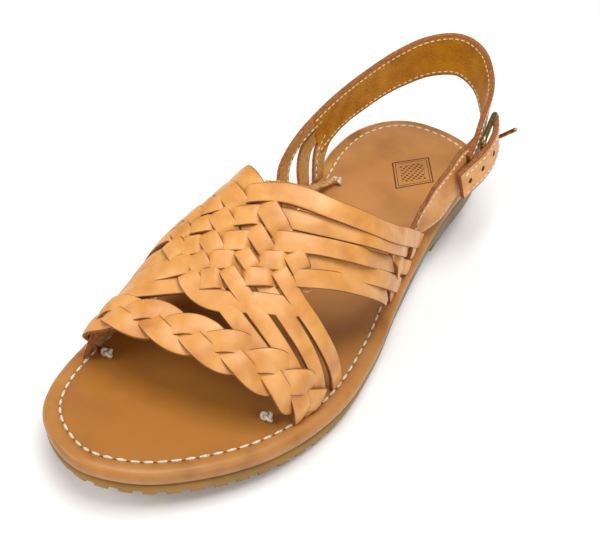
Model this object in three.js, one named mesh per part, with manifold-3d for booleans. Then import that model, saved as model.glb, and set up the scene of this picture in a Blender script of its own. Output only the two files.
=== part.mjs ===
// Huarache sandal, left foot: a moulded rubber outsole, a leather-wrapped platform with a leather
// insole, a vamp of interlaced leather straps, a braided toe strap, and a buckled sling at the heel.
//
// Millimetres, +Z up. The origin is on the ground under the ball of the foot. -Y points to the toe,
// +X to the outer (lateral) side. Stations are measured along the foot from the back of the heel.
import * as THREE from 'three';
import { mergeVertices } from 'three/addons/utils/BufferGeometryUtils.js';
import { TessellateModifier } from 'three/addons/modifiers/TessellateModifier.js';
import Module from 'manifold-3d';

const wasm = await Module();
wasm.setup();

// ---------------------------------------------------------------- driving dimensions

const BALL_STATION = 178;
const HEEL_END = 3;
const TOE_END = 288;
const TIP_X = -2;

const SEAT_HEIGHT = 22;
const BALL_HEIGHT = 15.2;
const TOE_SPRING = 11.5;
const SPRING_START = 171;
const SPRING_POWER = 1.93;
const SEAT_SLOPE = { from: 55, length: 110 };
const TREAD_LIFT = { from: 196, height: 12.5, power: 1.8 };
const PLATFORM_THICKNESS = 8;
const INSOLE_THICKNESS = 1.9;
const GAP = 0.3;

const RIM_WIDTH = 6.8;
const RIM_ROUND = 2.4;

const HEEL_BREAST = 77;
const ARCH_RISE = 5;
const ARCH_END = 128;
const LUG_PITCH = 10;
const LUG_GROOVE = { width: 3, depth: 2.6, reach: 15 };
const LUG_ENDS = { first: 14, last: 276 };

const WALL = 3;
const STRAP_WIDTH = 8.4;

// The sole's outline: how far each edge lies from the centre line at a station.
const OUTLINE = [
  { station: 6.5, lateral: 16.5, medial: -20.5 },
  { station: 17, lateral: 27.6, medial: -32.6 },
  { station: 36, lateral: 31.6, medial: -40.6 },
  { station: 60, lateral: 33.2, medial: -40.8 },
  { station: 91, lateral: 36.9, medial: -34.4 },
  { station: 127, lateral: 43.4, medial: -35.1 },
  { station: 164, lateral: 52.4, medial: -41.2 },
  { station: 200, lateral: 56.1, medial: -49.2 },
  { station: 237, lateral: 47.8, medial: -46.9 },
  { station: 268, lateral: 28.4, medial: -38.0 },
  { station: 281, lateral: 13.9, medial: -27.0 },
];

// The last over the vamp: height of its ridge above the insole.
const RIDGE = [
  { station: 40, height: 80 },
  { station: 92, height: 80 },
  { station: 110, height: 79 },
  { station: 130, height: 76 },
  { station: 150, height: 71 },
  { station: 165, height: 66 },
  { station: 179, height: 59.5 },
  { station: 192, height: 52 },
  { station: 207, height: 45 },
  { station: 222, height: 35.5 },
  { station: 239, height: 27.5 },
  { station: 252, height: 22 },
];
const RIDGE_SHIFT = 0.35;
const LATERAL_SQUARENESS = 2.3;
const MEDIAL_SQUARENESS = 2.6;
const FOOT_GAP = 0.4;
const LAST_INSET = { lateral: 4, ball: 4, medial: 7, from: 150, length: 40 };

// Vamp straps as routes over the last: the station of each strap at a girth, which is measured round
// the foot from the ridge, positive to the lateral side. The sweep straps run from the medial toe back
// to the lateral quarter, and the cross straps from the medial instep forward to the lateral toe.
const SWEEP_STRAPS = [
  { girth: -70, first: 214, second: 221, third: 226, fourth: 230, fifth: 235 },
  { girth: -30, first: 198, second: 207, third: 216, fourth: 224, fifth: 231 },
  { girth: -10, first: 185, second: 196, third: 207.5, fourth: 216.5, fifth: 224 },
  { girth: 0, first: 176, second: 187.5, third: 200, fourth: 209.5, fifth: 217.5 },
  { girth: 10, first: 170, second: 180.5, third: 193, fourth: 202.5, fifth: 211 },
  { girth: 30, first: 162, second: 170, third: 180, fourth: 188.5, fifth: 196.5 },
  { girth: 50, first: 147.5, second: 154, third: 164, fourth: 172, fifth: 178.5 },
  { girth: 75, first: 121, second: 128, third: 139, fourth: 149, fifth: 156.5 },
  { girth: 106, first: 88, second: 96, third: 108, fourth: 121, fifth: 134 },
];
const CROSS_STRAPS = [
  { girth: -90, first: 138, second: 146, third: 154, fourth: 162, fifth: 170 },
  { girth: -50, first: 151.5, second: 161.5, third: 169.5, fourth: 176.5, fifth: 183.5 },
  { girth: -30, first: 160, second: 170, third: 178, fourth: 184.5, fifth: 191.5 },
  { girth: -10, first: 169.5, second: 178.2, third: 186.1, fourth: 193.5, fifth: 201.5 },
  { girth: 0, first: 174, second: 182.3, third: 190.5, fourth: 198.7, fifth: 206.8 },
  { girth: 20, first: 181.8, second: 190, third: 198.3, fourth: 207, fifth: 214.5 },
  { girth: 40, first: 188.3, second: 196, third: 203.3, fourth: 211.5, fifth: 218.5 },
  { girth: 60, second: 196.5, third: 204.8, fourth: 213.2, fifth: 219.5 },
  { girth: 80, second: 193.5, third: 204, fourth: 213 },
  { girth: 100, second: 190 },
];
const STRAP_ORDER = ['first', 'second', 'third', 'fourth', 'fifth'];

// The foremost cross strap, which turns back over the lateral toe.
const TURNED_STRAP = [
  { girth: -90, station: 179 },
  { girth: -30, station: 198 },
  { girth: -10, station: 207.5 },
  { girth: 0, station: 212.5 },
  { girth: 10, station: 216.3 },
  { girth: 20, station: 214.5 },
  { girth: 32, station: 207 },
  { girth: 46, station: 197 },
];

// The corners of the area that the close weave covers, where the wall has no holes.
const WEAVE_AREA = [
  { girth: -46, station: 182 },
  { girth: -20, station: 172 },
  { girth: 4, station: 172 },
  { girth: 30, station: 181 },
  { girth: 43, station: 190 },
  { girth: 22, station: 211 },
  { girth: 0, station: 214 },
  { girth: -12, station: 212 },
  { girth: -30, station: 205 },
];

// The braid's middle line across the toes.
const BRAID = [
  { girth: -62, station: 237 },
  { girth: -30, station: 238.5 },
  { girth: -14, station: 237.5 },
  { girth: 0, station: 234.5 },
  { girth: 20, station: 230.5 },
  { girth: 40, station: 225 },
  { girth: 60, station: 218 },
  { girth: 90, station: 210 },
];
const BRAID_WIDTH = { medial: 12, lateral: 18 };

// The last's lateral edge behind the vamp, where the quarter strap stands off the foot.
const QUARTER_EDGE = [
  { station: 44, edge: 35.6 },
  { station: 58, edge: 38.8 },
  { station: 68, edge: 40.2 },
  { station: 80, edge: 39 },
  { station: 95, edge: 33.5 },
];
const QUARTER_THICKNESS = 2;

// The quarter strap's two edges, from the buckle to the insole.
const QUARTER_STRAP = [
  { upperStation: 45.6, upperHeight: 58, lowerStation: 44.6, lowerHeight: 42 },
  { upperStation: 58, upperHeight: 60, lowerStation: 58, lowerHeight: 41 },
  { upperStation: 72, upperHeight: 62, lowerStation: 70, lowerHeight: 40.5 },
  { upperStation: 82, upperHeight: 56.5, lowerStation: 77, lowerHeight: 36 },
  { upperStation: 91, upperHeight: 48, lowerStation: 83, lowerHeight: 29.5 },
  { upperStation: 98, upperHeight: 37.5, lowerStation: 87, lowerHeight: 24 },
  { upperStation: 109, upperHeight: 14, lowerStation: 91, lowerHeight: 14 },
];

// The heel strap's middle line, from the medial tails round the heel to its free end.
const HEEL_STRAP = [
  { x: -37, station: 128, height: 40 },
  { x: -38.5, station: 106, height: 40 },
  { x: -38.5, station: 84, height: 44 },
  { x: -37.6, station: 66, height: 48 },
  { x: -35.6, station: 44, height: 51 },
  { x: -29, station: 21, height: 56 },
  { x: -17, station: 6.5, height: 62.5 },
  { x: -3, station: 2, height: 66.5 },
  { x: 10, station: 6, height: 65.5 },
  { x: 21, station: 17, height: 62.5 },
  { x: 28.5, station: 30, height: 59.5 },
  { x: 33.5, station: 43, height: 56 },
  { x: 37, station: 57, height: 50.5 },
  { x: 39.8, station: 76, height: 44 },
];
const HEEL_BAND_FROM = 2;
const HEEL_BAND = { width: 24, thickness: 3.4 };
const BAND_LEAN = { slope: 0.15, height: 52, from: 25 };

// The three slit tails of the heel strap, from the band down to the insole.
const TAILS = [
  [
    { station: 80, height: 53 },
    { station: 93, height: 50 },
    { station: 105, height: 44.5 },
    { station: 113, height: 37 },
    { station: 117, height: 28 },
    { station: 118, height: 15 },
  ],
  [
    { station: 80, height: 44.5 },
    { station: 91, height: 40 },
    { station: 98, height: 31 },
    { station: 101, height: 16 },
  ],
  [
    { station: 74, height: 38.5 },
    { station: 82, height: 33 },
    { station: 86.5, height: 27 },
    { station: 89, height: 16 },
  ],
];
const TAIL_WIDTH = 8.2;
const TAIL_LEAN = { inward: 7, from: 50, length: 30, bottom: 20, rise: 24 };

// The lace from the vamp's medial side down to the insole.
const LACE = [
  { x: -30.4, station: 136, height: 49 },
  { x: -31.2, station: 121, height: 40.5 },
  { x: -29.6, station: 107, height: 31.5 },
  { x: -27.6, station: 95, height: 23 },
];
const LACE_SIZE = { width: 8, thickness: 1.8 };

// The buckle frame's corners, and its wire.
const FRAME_CORNERS = [
  { x: 34.6, station: 35.5, height: 65.5 },
  { x: 39.3, station: 57, height: 61.5 },
  { x: 43.2, station: 54, height: 41.8 },
  { x: 38.5, station: 32.5, height: 45.8 },
];
const FRAME_WIRE = 2.8;
const FRAME_ROUND = 0.16;
const PRONG = {
  foot: { x: 39.6, station: 35, height: 52.6 },
  tip: { x: 47.4, station: 37, height: 61.7 },
  wire: 2,
};
const KNOT = { radius: 2.6, flatness: 0.75 };
const KNOTS = [
  { x: -33.5, station: 240 },
  { x: 37, station: 224.5 },
  { x: -22.5, station: 83 },
];

// ---------------------------------------------------------------- tables, curves and solids

/** Value of one column of a table at a station, on a smooth curve through its rows. */
function lookUp(table, column, station) {
  const last = table.length - 2;
  let row = table.findIndex((r) => r.station > station) - 1;
  if (row < 0) row = station < table[0].station ? 0 : last;
  row = Math.min(row, last);
  const at = (i) => table[Math.min(Math.max(i, 0), last + 1)];
  const [p, a, b, n] = [at(row - 1), at(row), at(row + 1), at(row + 2)];
  const span = b.station - a.station;
  const slopeA = ((b[column] - p[column]) / (b.station - p.station)) * span;
  const slopeB = ((n[column] - a[column]) / (n.station - a.station)) * span;
  const t = Math.min(Math.max((station - a.station) / span, 0), 1);
  const t2 = t * t;
  const t3 = t2 * t;
  return (2 * t3 - 3 * t2 + 1) * a[column] + (t3 - 2 * t2 + t) * slopeA
    + (3 * t2 - 2 * t3) * b[column] + (t3 - t2) * slopeB;
}

const clamp = (value, low, high) => Math.min(Math.max(value, low), high);
const ease = (t) => THREE.MathUtils.smoothstep(t, 0, 1);

/** Height of the insole's top at a station. */
function footbed(station) {
  const down = ease((station - SEAT_SLOPE.from) / SEAT_SLOPE.length);
  const seat = BALL_HEIGHT + (SEAT_HEIGHT - BALL_HEIGHT) * (1 - down);
  const toe = Math.max(station - SPRING_START, 0) / (TOE_END - SPRING_START);
  return seat + TOE_SPRING * toe ** SPRING_POWER;
}

/** Height of the outsole's underside at a station, before the arch is cut. */
function ground(station) {
  const toe = Math.max(station - TREAD_LIFT.from, 0) / (TOE_END - TREAD_LIFT.from);
  return TREAD_LIFT.height * toe ** TREAD_LIFT.power;
}

const outline = new THREE.CatmullRomCurve3([
  new THREE.Vector3(TIP_X, HEEL_END, 0),
  ...OUTLINE.map((r) => new THREE.Vector3(r.lateral, r.station, 0)),
  new THREE.Vector3(TIP_X - 3, TOE_END, 0),
  ...OUTLINE.map((r) => new THREE.Vector3(r.medial, r.station, 0)).reverse(),
], true, 'centripetal');
const OUTLINE_POINTS = outline.getPoints(600).slice(0, -1);

/** The outline moved inwards: a closed list of points, and where its two tips are. */
function insetOutline(inset) {
  const count = OUTLINE_POINTS.length;
  const points = OUTLINE_POINTS.map((p, i) => {
    const before = OUTLINE_POINTS[(i + count - 1) % count];
    const after = OUTLINE_POINTS[(i + 1) % count];
    const along = new THREE.Vector2(after.x - before.x, after.y - before.y).normalize();
    return new THREE.Vector2(p.x - along.y * inset, p.y + along.x * inset);
  });
  const heel = points.reduce((best, p, i) => (p.y < points[best].y ? i : best), 0);
  const toe = points.reduce((best, p, i) => (p.y > points[best].y ? i : best), 0);
  return { points, heel, toe };
}

/** Points of an inset outline at shared fractions from heel to toe, on both sides of the foot. */
function sidesOf(inset, fractions) {
  const { points, heel, toe } = insetOutline(inset);
  const [low, high] = [points[heel].y, points[toe].y];
  const count = points.length;
  const pick = (step) => fractions.map((f) => {
    const y = low + (high - low) * f;
    let i = heel;
    let next = (i + step + count) % count;
    while (points[next].y < y && next !== toe) {
      i = next;
      next = (i + step + count) % count;
    }
    const span = points[next].y - points[i].y;
    const t = span > 0 ? clamp((y - points[i].y) / span, 0, 1) : 0;
    return new THREE.Vector2(THREE.MathUtils.lerp(points[i].x, points[next].x, t), y);
  });
  const lateralStep = points[(heel + 1) % count].x > points[heel].x ? 1 : -1;
  return { lateral: pick(lateralStep), medial: pick(-lateralStep) };
}

/** Turns a list of corner positions and triangles into a mesh geometry with merged corners. */
function geometryOf(positions, triangles) {
  const geometry = new THREE.BufferGeometry();
  geometry.setAttribute('position', new THREE.Float32BufferAttribute(positions, 3));
  geometry.setIndex(triangles);
  return geometry;
}

/** A closed solid through rings, each an inset outline at a height that follows the station. */
function soleSolid(rings, stations = 30, across = 3) {
  const steps = Array.from({ length: stations + 1 }, (_, i) => i);
  const fractions = steps.map((i) => (1 - Math.cos((Math.PI * i) / stations)) / 2);
  const positions = [];
  const loops = rings.map(({ inset, height }) => {
    const { lateral, medial } = sidesOf(inset, fractions);
    const loop = [...lateral, ...medial.slice(1, -1).reverse()];
    const first = positions.length / 3;
    loop.forEach((p) => positions.push(p.x, BALL_STATION - p.y, height(p.y)));
    return { first, lateral, medial };
  });
  const size = 2 * stations;
  const triangles = [];
  for (let r = 0; r + 1 < rings.length; r += 1) {
    for (let i = 0; i < size; i += 1) {
      const j = (i + 1) % size;
      const [a, b] = [loops[r].first + i, loops[r].first + j];
      const [c, d] = [loops[r + 1].first + i, loops[r + 1].first + j];
      triangles.push(a, c, b, b, c, d);
    }
  }
  const cap = (ring, up) => {
    const { first, lateral, medial } = loops[ring];
    const rows = fractions.map((_, i) => {
      if (i === 0 || i === stations) return [first + i];
      const row = [first + i];
      for (let k = 1; k < across; k += 1) {
        const x = THREE.MathUtils.lerp(lateral[i].x, medial[i].x, k / across);
        row.push(positions.length / 3);
        positions.push(x, BALL_STATION - lateral[i].y, rings[ring].height(lateral[i].y));
      }
      row.push(first + size - i);
      return row;
    });
    const add = (a, b, c) => triangles.push(...(up ? [a, b, c] : [a, c, b]));
    for (let i = 0; i < stations; i += 1) {
      const [near, far] = [rows[i], rows[i + 1]];
      for (let k = 0; k < across; k += 1) {
        if (near.length === 1) add(near[0], far[k + 1], far[k]);
        else if (far.length === 1) add(near[k], near[k + 1], far[0]);
        else {
          add(near[k], near[k + 1], far[k]);
          add(near[k + 1], far[k + 1], far[k]);
        }
      }
    }
  };
  cap(0, false);
  cap(rings.length - 1, true);
  return geometryOf(positions, triangles);
}

/** A manifold solid from a closed geometry. */
function solid(geometry) {
  const bare = geometry.clone();
  ['normal', 'uv'].forEach((name) => bare.deleteAttribute(name));
  const merged = mergeVertices(bare, 1e-4);
  const mesh = new wasm.Mesh({
    numProp: 3,
    vertProperties: Float32Array.from(merged.attributes.position.array),
    triVerts: Uint32Array.from(merged.index.array),
  });
  return new wasm.Manifold(mesh);
}

/** The geometry of a manifold solid. */
function geometryFrom(manifold) {
  const { vertProperties, triVerts } = manifold.getMesh();
  return geometryOf(Array.from(vertProperties), Array.from(triVerts));
}

/** A smooth route through points, as evenly spaced points about a step apart. */
function route(points, step = 5) {
  const curve = new THREE.CatmullRomCurve3(points.map(([a, b]) => new THREE.Vector3(a, b, 0)));
  return curve.getSpacedPoints(Math.ceil(curve.getLength() / step));
}

/** The flat outline of a strap along a route, with its width at each share of its length. */
function strapShape(points, width, step = 11) {
  const line = route(points, step);
  const sides = [[], []];
  line.forEach((p, i) => {
    const along = line[Math.min(i + 1, line.length - 1)].clone().sub(line[Math.max(i - 1, 0)]).normalize();
    const half = width(i / (line.length - 1)) / 2;
    sides[0].push(new THREE.Vector2(p.x - along.y * half, p.y + along.x * half));
    sides[1].push(new THREE.Vector2(p.x + along.y * half, p.y - along.x * half));
  });
  return new THREE.Shape([...sides[0], ...sides[1].reverse()]);
}

/** A flat slab of a shape, of the wall's thickness, centred on zero height. */
function slab(shape, thickness) {
  const geometry = new THREE.ExtrudeGeometry(shape, { depth: thickness, bevelEnabled: false });
  geometry.translate(0, 0, -thickness / 2);
  return solid(geometry);
}

/** The flat area below the insole's top, from one station to another: at(station) gives its place. */
function underFootbed(from, to, at) {
  const corners = [new THREE.Vector2(at(to), -20), new THREE.Vector2(at(from), -20)];
  for (let i = 0; i <= 8; i += 1) {
    const station = THREE.MathUtils.lerp(from, to, i / 8);
    corners.push(new THREE.Vector2(at(station), footbed(station) + FOOT_GAP));
  }
  return new THREE.Shape(corners);
}

/** Cuts a flat solid's faces small and lays it on a surface whose outside is its mirror side. */
function layOn(flat, edge, place) {
  const soup = geometryFrom(flat).toNonIndexed();
  const fine = mergeVertices(new TessellateModifier(edge, 12).modify(soup), 1e-4);
  const position = fine.attributes.position;
  const point = new THREE.Vector3();
  for (let i = 0; i < position.count; i += 1) {
    point.fromBufferAttribute(position, i);
    const to = place(point.x, point.y, point.z);
    position.setXYZ(i, to.x, to.y, to.z);
  }
  return geometryOf(Array.from(position.array), Array.from(fine.index.array).reverse());
}

// ---------------------------------------------------------------- sole

const grooveHeight = (station) => ground(station) + LUG_GROOVE.depth;

function outsole() {
  const top = (station) => footbed(station) - PLATFORM_THICKNESS;
  const body = solid(soleSolid([
    { inset: 1.6, height: ground },
    { inset: 0.4, height: (s) => ground(s) + 1.4 },
    { inset: 0.2, height: (s) => top(s) - 1 },
    { inset: 0.8, height: top },
  ]));
  const arch = new THREE.Shape();
  arch.moveTo(BALL_STATION - HEEL_BREAST, -1);
  arch.lineTo(BALL_STATION - HEEL_BREAST - 1, ARCH_RISE);
  arch.quadraticCurveTo(BALL_STATION - 100, ARCH_RISE, BALL_STATION - ARCH_END, -1);
  const wedge = new THREE.ExtrudeGeometry(arch, { depth: 160, bevelEnabled: false, curveSegments: 8 });
  wedge.rotateX(Math.PI / 2);
  wedge.rotateZ(Math.PI / 2);
  wedge.translate(-80, 0, 0);
  let cut = body.subtract(solid(wedge));
  for (let station = LUG_ENDS.first; station < LUG_ENDS.last; station += LUG_PITCH) {
    const inArch = station > HEEL_BREAST - LUG_PITCH / 2 && station < ARCH_END;
    if (inArch) continue;
    for (const side of ['lateral', 'medial']) {
      const edge = lookUp(OUTLINE, side, station);
      const inner = edge - Math.sign(edge) * LUG_GROOVE.reach;
      const groove = new THREE.BoxGeometry(40, LUG_GROOVE.width, LUG_GROOVE.depth + 6);
      const middle = inner + Math.sign(edge) * 20;
      groove.translate(middle, BALL_STATION - station, grooveHeight(station) - (LUG_GROOVE.depth + 6) / 2);
      cut = cut.subtract(solid(groove));
    }
  }
  return geometryFrom(cut);
}

function platform() {
  const low = (s) => footbed(s) - PLATFORM_THICKNESS + GAP;
  const floor = (s) => footbed(s) - INSOLE_THICKNESS - GAP;
  return soleSolid([
    { inset: 1.4, height: low },
    { inset: 0.2, height: (s) => low(s) + 1.6 },
    { inset: 0, height: (s) => footbed(s) - RIM_ROUND - 0.8 },
    { inset: 0.8, height: (s) => footbed(s) - RIM_ROUND / 2.6 },
    { inset: 2.2, height: (s) => footbed(s) - 0.1 },
    { inset: 4.2, height: footbed },
    { inset: RIM_WIDTH - 0.4, height: (s) => footbed(s) - 0.5 },
    { inset: RIM_WIDTH, height: (s) => footbed(s) - 1 },
    { inset: RIM_WIDTH + 0.1, height: floor },
  ]);
}

function insole() {
  return soleSolid([
    { inset: RIM_WIDTH + GAP + 0.2, height: (s) => footbed(s) - INSOLE_THICKNESS },
    { inset: RIM_WIDTH + GAP + 0.1, height: (s) => footbed(s) - 0.5 },
    { inset: RIM_WIDTH + GAP + 0.5, height: footbed },
  ]);
}

// ---------------------------------------------------------------- vamp

/** Where the last meets the insole on the lateral side. */
function lastEdge(station) {
  if (station < QUARTER_EDGE[QUARTER_EDGE.length - 1].station) return lookUp(QUARTER_EDGE, 'edge', station);
  const ball = LAST_INSET.ball * ease((station - LAST_INSET.from) / LAST_INSET.length);
  return lookUp(OUTLINE, 'lateral', station) - LAST_INSET.lateral - ball;
}

/** The measures of the last's cross-section at a station. */
function lastMeasures(station) {
  const lateral = lastEdge(station);
  const medial = lookUp(OUTLINE, 'medial', station) + LAST_INSET.medial;
  const ridge = (lateral + medial) / 2 - (RIDGE_SHIFT * (lateral - medial)) / 2;
  const height = lookUp(RIDGE, 'height', station);
  return { lateral, medial, ridge, height, base: footbed(station) + FOOT_GAP };
}

/** The last's cross-section at a station: its points from the lateral edge over the ridge. */
function lastSection(station) {
  const { lateral, medial, ridge, height, base } = lastMeasures(station);
  const steps = 48;
  const points = [];
  for (let i = 0; i <= steps; i += 1) {
    const angle = (Math.PI * i) / steps;
    const [c, s] = [Math.cos(angle), Math.max(Math.sin(angle), 0)];
    const squareness = c >= 0 ? LATERAL_SQUARENESS : MEDIAL_SQUARENESS;
    const half = c >= 0 ? lateral - ridge : ridge - medial;
    const x = ridge + half * Math.sign(c) * Math.abs(c) ** (2 / squareness);
    points.push(new THREE.Vector2(x, base + height * s ** (2 / squareness)));
  }
  const girths = [0];
  for (let i = 1; i <= steps; i += 1) girths.push(girths[i - 1] + points[i].distanceTo(points[i - 1]));
  const top = girths[steps / 2];
  return { points, girths: girths.map((g) => top - g) };
}

const sections = new Map();

/** A point of the last at a girth and station. */
function lastPoint(girth, station) {
  const key = station.toFixed(3);
  if (!sections.has(key)) sections.set(key, lastSection(station));
  const { points, girths } = sections.get(key);
  const after = girths.findIndex((g) => g < girth);
  const i = clamp(after < 0 ? girths.length : after, 1, girths.length - 1) - 1;
  const t = clamp((girths[i] - girth) / (girths[i] - girths[i + 1]), 0, 1);
  const p = points[i].clone().lerp(points[i + 1], t);
  return new THREE.Vector3(p.x, BALL_STATION - station, p.y);
}

/** A point off a surface, by a height along its outward normal, which is b across a. */
function offSurface(surface, a, b, height) {
  const step = 0.5;
  const alongA = surface(a + step, b).sub(surface(a - step, b));
  const alongB = surface(a, b + step).sub(surface(a, b - step));
  const normal = alongB.cross(alongA).normalize();
  return surface(a, b).addScaledVector(normal, height);
}

/** The flat outline of the last itself, down to the insole on both sides. */
function lastShape() {
  const rows = [];
  for (let station = 94; station <= 252; station += 7) {
    const { girths } = lastSection(station);
    rows.push([station, girths[0] - 0.1, girths[girths.length - 1] + 0.1]);
  }
  const lateral = rows.map(([s, g]) => new THREE.Vector2(g, s));
  const medial = rows.map(([s, , g]) => new THREE.Vector2(g, s)).reverse();
  return new THREE.Shape([...lateral, ...medial]);
}

/** One strap's route from its column of a table of girths. */
function routeOf(table, column) {
  return table.filter((r) => r[column] !== undefined).map((r) => [r.girth, r[column]]);
}

function vamp() {
  const routes = [
    ...STRAP_ORDER.map((name) => routeOf(SWEEP_STRAPS, name)),
    ...STRAP_ORDER.map((name) => routeOf(CROSS_STRAPS, name)),
    routeOf(TURNED_STRAP, 'station'),
  ];
  const parts = routes.map((points) => strapShape(points, () => STRAP_WIDTH));
  const { medial, lateral } = BRAID_WIDTH;
  parts.push(strapShape(routeOf(BRAID, 'station'), (t) => THREE.MathUtils.lerp(medial, lateral, t)));
  parts.push(new THREE.Shape(WEAVE_AREA.map((r) => new THREE.Vector2(r.girth, r.station))));
  const joined = parts.map((shape) => slab(shape, WALL)).reduce((whole, part) => whole.add(part));
  const flat = joined.intersect(slab(lastShape(), WALL + 2));
  return layOn(flat, 15, (girth, station, height) => offSurface(lastPoint, girth, station, height));
}

// ---------------------------------------------------------------- quarter strap

/** A point of the last's lateral wall at a station and a height above the ground. */
function wallPoint(station, z) {
  const { lateral, ridge, height, base } = lastMeasures(station);
  const rise = clamp((z - base) / height, 0, 0.98) ** (LATERAL_SQUARENESS / 2);
  const x = ridge + (lateral - ridge) * Math.sqrt(1 - rise * rise) ** (2 / LATERAL_SQUARENESS);
  return new THREE.Vector3(x, BALL_STATION - station, z);
}

function quarterStrap() {
  const upper = route(QUARTER_STRAP.map((r) => [r.upperStation, r.upperHeight]), 8);
  const lower = route(QUARTER_STRAP.map((r) => [r.lowerStation, r.lowerHeight]), 8);
  const corners = [...upper, ...lower.reverse()].map((p) => new THREE.Vector2(p.x, p.y));
  const under = slab(underFootbed(80, 130, (station) => station), QUARTER_THICKNESS + 2);
  const flat = slab(new THREE.Shape(corners), QUARTER_THICKNESS).subtract(under);
  const inside = -(WALL / 2 + 3.5 * GAP + QUARTER_THICKNESS / 2);
  return layOn(flat, 11, (station, z, height) => offSurface(wallPoint, station, z, height + inside));
}

// ---------------------------------------------------------------- heel strap and lace

/** A plan curve through the rows of a table, with the length along it at each row. */
function planCurve(table) {
  const points = table.map((r) => new THREE.Vector3(r.x, BALL_STATION - r.station, 0));
  const curve = new THREE.CatmullRomCurve3(points);
  const parts = 24;
  const lengths = curve.getLengths((table.length - 1) * parts);
  return { curve, total: curve.getLength(), rows: table.map((_, i) => lengths[i * parts]) };
}

/** A point on the upright sheet over a plan curve, at a length along it and a height. */
function sheetPoint({ curve, total }, length, z, away) {
  const share = clamp(length / total, 0, 1);
  const point = curve.getPointAt(share);
  const along = curve.getTangentAt(share);
  const over = length - share * total;
  point.addScaledVector(along, over);
  const outward = new THREE.Vector3(-along.y, along.x, 0);
  const station = BALL_STATION - point.y;
  const medial = point.x < 0 ? ease((station - TAIL_LEAN.from) / TAIL_LEAN.length) : 0;
  const lateral = point.x > 0 ? ease((station - BAND_LEAN.from) / BAND_LEAN.from) : 0;
  const lean = BAND_LEAN.slope * (BAND_LEAN.height - z) * lateral
    - TAIL_LEAN.inward * medial * (1 - ease((z - TAIL_LEAN.bottom) / TAIL_LEAN.rise));
  point.addScaledVector(outward, away + lean);
  point.z = z;
  return point;
}

/** Length along a plan curve where its front medial part reaches a station. */
function lengthAt({ curve, total }, station) {
  const steps = 200;
  for (let i = 1; i <= steps; i += 1) {
    const point = curve.getPointAt(i / steps);
    if (BALL_STATION - point.y <= station) return (total * i) / steps;
  }
  return total + BALL_STATION - curve.getPointAt(1).y - station;
}

function heelStrap() {
  const plan = planCurve(HEEL_STRAP);
  const band = HEEL_STRAP.map((r, i) => [plan.rows[i], r.height]).slice(HEEL_BAND_FROM);
  const shapes = [strapShape(band, () => HEEL_BAND.width)];
  TAILS.forEach((tail) => {
    const line = tail.map((r) => [lengthAt(plan, r.station), r.height]);
    shapes.push(strapShape(line, () => TAIL_WIDTH, 7));
  });
  const under = underFootbed(70, 127, (station) => lengthAt(plan, station));
  const flat = shapes.map((shape) => slab(shape, HEEL_BAND.thickness))
    .reduce((whole, part) => whole.add(part))
    .subtract(slab(under, HEEL_BAND.thickness + 2));
  return layOn(flat, 13, (length, z, height) => sheetPoint(plan, length, z, height));
}

function medialLace() {
  const plan = planCurve(LACE);
  const line = LACE.map((r, i) => [plan.rows[i], r.height]);
  const shape = strapShape(line, () => LACE_SIZE.width, 5);
  const under = underFootbed(84, 134, (station) => lengthAt(plan, station));
  const flat = slab(shape, LACE_SIZE.thickness).subtract(slab(under, LACE_SIZE.thickness + 2));
  return layOn(flat, 8, (length, z, height) => {
    const { curve, total } = plan;
    const share = clamp(length / total, 0, 1);
    const point = curve.getPointAt(share);
    const along = curve.getTangentAt(share);
    point.addScaledVector(along, length - share * total);
    point.addScaledVector(new THREE.Vector3(-along.y, along.x, 0), height);
    point.z = z;
    return point;
  });
}

// ---------------------------------------------------------------- buckle and knots

const placeOf = ({ x, station, height }) => new THREE.Vector3(x, BALL_STATION - station, height);

function buckleFrame() {
  const corners = FRAME_CORNERS.map(placeOf);
  const bends = corners.map((corner, i) => ({
    corner,
    start: corner.clone().lerp(corners[(i + corners.length - 1) % corners.length], FRAME_ROUND),
    end: corner.clone().lerp(corners[(i + 1) % corners.length], FRAME_ROUND),
  }));
  const path = new THREE.CurvePath();
  bends.forEach(({ corner, start, end }, i) => {
    path.add(new THREE.QuadraticBezierCurve3(start, corner, end));
    path.add(new THREE.LineCurve3(end, bends[(i + 1) % bends.length].start));
  });
  const even = new THREE.CatmullRomCurve3(path.getSpacedPoints(44).slice(0, -1), true);
  return new THREE.TubeGeometry(even, 44, FRAME_WIRE / 2, 6, true);
}

function buckleProng() {
  const line = new THREE.LineCurve3(placeOf(PRONG.foot), placeOf(PRONG.tip));
  const rod = new THREE.CapsuleGeometry(PRONG.wire / 2, line.getLength() - PRONG.wire, 4, 10, 1);
  const upright = new THREE.Vector3(0, 1, 0);
  rod.applyQuaternion(new THREE.Quaternion().setFromUnitVectors(upright, line.getTangent(0)));
  const middle = line.getPoint(0.5);
  rod.translate(middle.x, middle.y, middle.z);
  return rod;
}

function knot({ x, station }) {
  const ball = new THREE.SphereGeometry(KNOT.radius, 10, 6);
  ball.rotateX(Math.PI / 2);
  ball.scale(1, 1, KNOT.flatness);
  ball.translate(x, BALL_STATION - station, footbed(station) + GAP + KNOT.radius * KNOT.flatness);
  return ball;
}

// ---------------------------------------------------------------- assembly

const LEATHER = new THREE.MeshStandardMaterial({ color: 0xd9a066, roughness: 0.6 });
const WRAP = new THREE.MeshStandardMaterial({ color: 0xa9713f, roughness: 0.55 });
const RUBBER = new THREE.MeshStandardMaterial({ color: 0xb8924a, roughness: 0.8 });
const BRASS = new THREE.MeshStandardMaterial({ color: 0x9c8440, roughness: 0.35, metalness: 1 });
const COTTON = new THREE.MeshStandardMaterial({ color: 0xe8e0d0, roughness: 0.9 });

const sandal = new THREE.Group();

/** Adds one named piece to the sandal. */
function add(name, geometry, material) {
  const mesh = new THREE.Mesh(geometry, material);
  mesh.name = name;
  sandal.add(mesh);
}

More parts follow.
